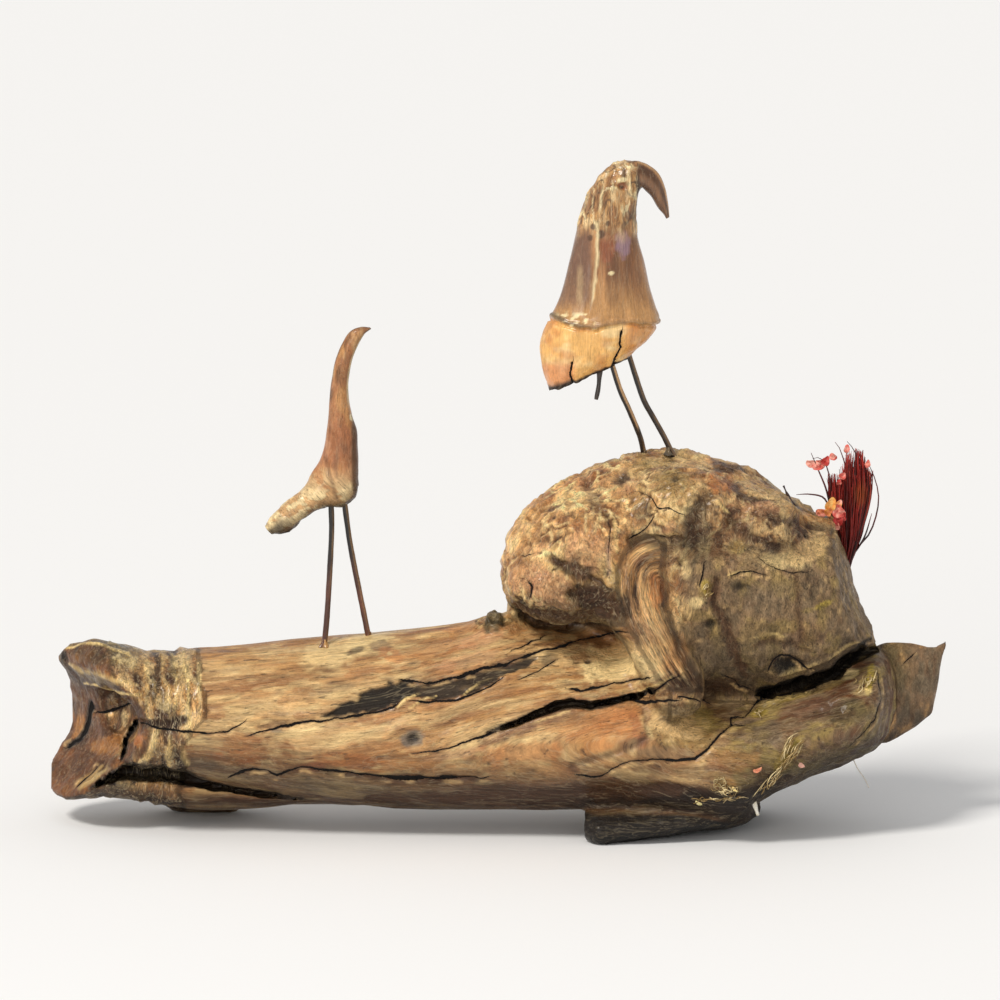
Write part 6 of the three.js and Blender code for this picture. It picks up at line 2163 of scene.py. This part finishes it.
def petal_pieces(material):
    for name, rows in PETALS.items():
        petals = [([s, y, height_at(t, y)], *rest) for s, t, y, *rest in rows]
        replaced = [name] if name in ("petal_high", "petal_orange", "petal_coral") else []
        petal_piece(name + "_crumpled", petals, material, *replaced)


# Straw, moss and flakes caught on the fork.
PROBES = np.linspace(-42, 10, 260)  # each y at which the front of the wood is looked for


def surface_y(s, t):
    """The y at which the front of the wood lies, at s and t."""
    y = PROBES
    d = driftwood_field(np.full(len(y), float(s)), y, height_at(t, y))
    inside = np.flatnonzero(d < 0)
    return y[inside[0]] if len(inside) else 0.0


def on_front(s, t, lift):
    y = surface_y(s, t) - lift
    return [s, y, height_at(t, y)]


# Clumps of straw: a line [s, t] to [s, t], how far they stray, how many, their direction and its
# spread in degrees, their length, and how far they curve.
STEEPEST = 3.5  # a straw whose y changes by more than this would leave the wood, and is left out
STRAW_CLUMPS = [
    [[101.5, 28], [88, 10.5], 1, 44, 54, 13, 6, 0.5],
    [[99, 31], [96, 24], 0.8, 12, 62, 10, 5, 0.4],
    [[72.6, 15], [78.4, 10.8], 1, 40, -40, 50, 3, 1.4],
    [[66, 9], [84, 9.4], 0.5, 18, 0, 16, 4, 0.4],
    [[121.4, 46], [124.6, 51.6], 1, 16, 66, 20, 3.4, 0.5],
    [[69.4, 81], [70.2, 77.4], 0.8, 12, 60, 24, 2.6, 0.5],
    [[86.4, 39], [89, 37.4], 0.9, 8, 40, 24, 2.6, 0.5],
]


def straw_piece(material):
    random = np.random.default_rng(11)
    shells, tones = [], []
    for start, end, stray, count, direction, spread, length, curve in STRAW_CLUMPS:
        for _ in range(count):
            share = random.uniform()
            cs = mix(start[0], end[0], share) + stray * random.normal()
            ct = mix(start[1], end[1], share) + 0.5 * stray * random.normal()
            turn = math.radians(direction + random.normal() * spread)
            half = length * random.uniform(0.25, 0.6)
            ds, dt = half * math.cos(turn), half * math.sin(turn)
            bend = random.normal() * curve
            path = [
                on_front(cs - ds, ct - dt, 0.1),
                on_front(cs - bend * math.sin(turn), ct + bend * math.cos(turn), 0.8),
                on_front(cs + ds, ct + dt, 0.3),
            ]
            if np.abs(np.diff([p[1] for p in path])).max() > STEEPEST:
                continue
            shells.append(stem(path, random.uniform(0.12, 0.26)))
            tones.append(random.uniform(0, 1))
    points, faces = together(shells)
    mesh = new_mesh("straw_and_moss", points, faces)
    tone = np.repeat(tones, len(shells[0][0]))
    paint = painted(linear((146, 118, 70)), [
        ((226, 204, 154), smoothly(0.3, 0.9, tone)),
        ((112, 86, 50), smoothly(0.2, 0.1, tone)),
        ((120, 98, 56), 0.5 * smoothly(0.0, 0.5, rough(points, 3, 441))),
    ])
    set_paint(mesh, paint, 0.55)
    new_piece(mesh, "grass", material)


# Small flakes on the fork: s, t, half length, half width, tilt in degrees, curl and the two colours.
FLAKES = {
    "coral_flake_left": (86.8, 19, 1.6, 0.8, 30, 0.3, (226, 128, 90), (244, 168, 130)),
    "coral_flake_right": (101.5, 20.5, 1.2, 0.7, -30, 0.3, (206, 140, 120), (226, 170, 150)),
    "straw_flake_left": (67, 7.8, 1.3, 0.6, -30, 0.3, (222, 206, 140), (240, 228, 170)),
    "straw_flake_middle": (79, 12.4, 1.3, 0.6, -40, 0.3, (230, 200, 120), (246, 226, 160)),
}
FLAKE_LIFT = 0.3


def flake_pieces(material):
    for name, (s, t, *shape) in FLAKES.items():
        petal_piece(name, [(on_front(s, t, FLAKE_LIFT), *shape)], material)


def filament_piece(material):
    path = curve_through([[119, -6, 24.5], [120.6, -6, 21], [123, -6, 17.4], [124.4, -6, 14.4]], 24)
    shell, faces = tube(path, 0.16, 6)
    mesh = new_mesh("thin_filament", shell, faces)
    set_paint(mesh, all_over(shell, (206, 196, 180)), 0.5)
    new_piece(mesh, "chip", material)


def chip_piece(material):
    path = curve_through(
        [[85.4, -24.6, 16], [85.7, -24.2, 13.4], [86.6, -23.5, 10], [87, -23.2, 8.8]], 40)
    share = np.linspace(0, 1, 40)
    shell, faces = tube(path, 1.15 * (1 - 0.55 * share) * (1 + 0.08 * np.sin(14 * share)), 16)
    mesh = new_mesh("pale_chip_splinter", shell, faces)
    moved = points_of(mesh)
    moved += normals_of(mesh) * (0.12 * noise(moved, (0.8, 0.8, 3), 451))[:, None]
    set_points(mesh, moved)
    tone = smoothly(-0.5, 0.5, rough(moved, (0.9, 0.9, 3), 452))
    paint = tinted(linear((214, 200, 168)), (250, 246, 234), tone)
    set_paint(mesh, paint, 0.55)
    new_piece(mesh, "chip", material, "pale_chip")


# The studio.
CAMERA_AWAY = 12.0
CAMERA_CLIP = (1, 60)
PICTURE_MIDDLE = (0.0004, -0.0013, 0)
PICTURE_MIDDLE_UP = 0.1097  # how far up the front plane from there
LIT_PLACE = (0, 0, 0.08)
PHOTO_WIDTH = 0.337  # metres across the picture, at the piece
SENSOR = 36.0
FLOOR_HALF = 20.0
FLOOR_DROP = 0.0002  # keeps the floor clear of what rests on it


def camera():
    data = bpy.data.cameras.new("camera")
    data.sensor_width = SENSOR
    data.lens = SENSOR * CAMERA_AWAY / PHOTO_WIDTH
    data.clip_start, data.clip_end = CAMERA_CLIP
    eye = new_object("camera", data)
    up = Vector((0, math.sin(VIEW_TILT), math.cos(VIEW_TILT)))
    target = Vector(PICTURE_MIDDLE) + PICTURE_MIDDLE_UP * up
    away = Vector(TOWARDS_VIEWER)
    eye.location = target + CAMERA_AWAY * away
    eye.rotation_euler = away.to_track_quat("Z", "Y").to_euler()
    bpy.context.scene.camera = eye


def area_light(name, place, size, power, colour=(1, 1, 1)):
    data = bpy.data.lights.new(name, "AREA")
    data.shape = "RECTANGLE"
    data.size, data.size_y = size
    data.energy = power
    data.color = colour
    light = new_object(name, data)
    light.location = place
    aim = Vector(LIT_PLACE) - Vector(place)
    light.rotation_euler = aim.to_track_quat("-Z", "Y").to_euler()


def sun(name, towards, strength, softness, colour):
    data = bpy.data.lights.new(name, "SUN")
    data.energy = strength
    data.angle = math.radians(softness)
    data.color = colour
    light = new_object(name, data)
    light.rotation_euler = Vector(towards).to_track_quat("Z", "Y").to_euler()


def studio():
    mesh = bpy.data.meshes.new("floor")
    half = FLOOR_HALF
    corners = [(-half, -half, 0), (half, -half, 0), (half, half, 0), (-half, half, 0)]
    mesh.from_pydata(corners, [], [(0, 1, 2, 3)])
    floor = new_object("floor", mesh)
    floor.location.z = -FLOOR_DROP
    nodes = Nodes("pale_floor")
    mesh.materials.append(
        nodes.finish(Base_Color=(0.9, 0.9, 0.9, 1), Roughness=0.8, Specular_IOR_Level=0.1))

    world = bpy.data.worlds.new("studio")
    bpy.context.scene.world = world
    world.use_nodes = True
    background = world.node_tree.nodes["Background"]
    background.inputs["Color"].default_value = (1.0, 1.0, 1.0, 1)
    background.inputs["Strength"].default_value = 0.55
    sun("key", (-0.55, -0.5, 0.95), 1.9, 14, (1.0, 0.96, 0.9))
    area_light("front", (-0.5, -1.2, 0.35), (0.5, 0.3), 3, (1.0, 0.95, 0.88))
    view = bpy.context.scene.view_settings
    view.view_transform = "Standard"
    view.look = "None"


camera()
studio()
driftwood(wood_material("weathered_driftwood", 0.35))
right_bird_piece(wood_material("glossy_bird_wood", 0.7))
left_bird_piece(wood_material("varnished_bird_wood", 0.5))
wire = wire_material()
for leg, leg_points in LEGS.items():
    leg_piece(leg, leg_points, wire)
spur_piece(wire)
glue = speckled_material(
    "clear_glue", 700.0, (0.75, 1.2), (0.2, 0.4), 0.0003, (3.0, 0.5, 0.0),
    Coat_Weight=0.6, Coat_Roughness=0.1)
for drop, drop_shape in GLUE_DROPS.items():
    glue_piece(drop, *drop_shape, glue)
grass = speckled_material(
    "dyed_grass", 2600.0, (0.6, 1.35), (0.35, 0.6), 0.00015, along_z=0.12,
    Specular_IOR_Level=0.3)
grass_piece(grass)
stray_stems(grass)
petal = speckled_material(
    "dried_petal", 1500.0, (0.72, 1.18), (0.5, 0.75), 0.0002, (4.0, 0.65, 0.8),
    Subsurface_Weight=0.15, Subsurface_Radius=(0.002, 0.001, 0.001))
petal_pieces(petal)
flake_pieces(petal)
straw_piece(grass)
pale = speckled_material("pale_bare_wood", 2200.0, (0.85, 1.08), (0.45, 0.7), 0.0001, along_z=0.2)
filament_piece(pale)
chip_piece(pale)
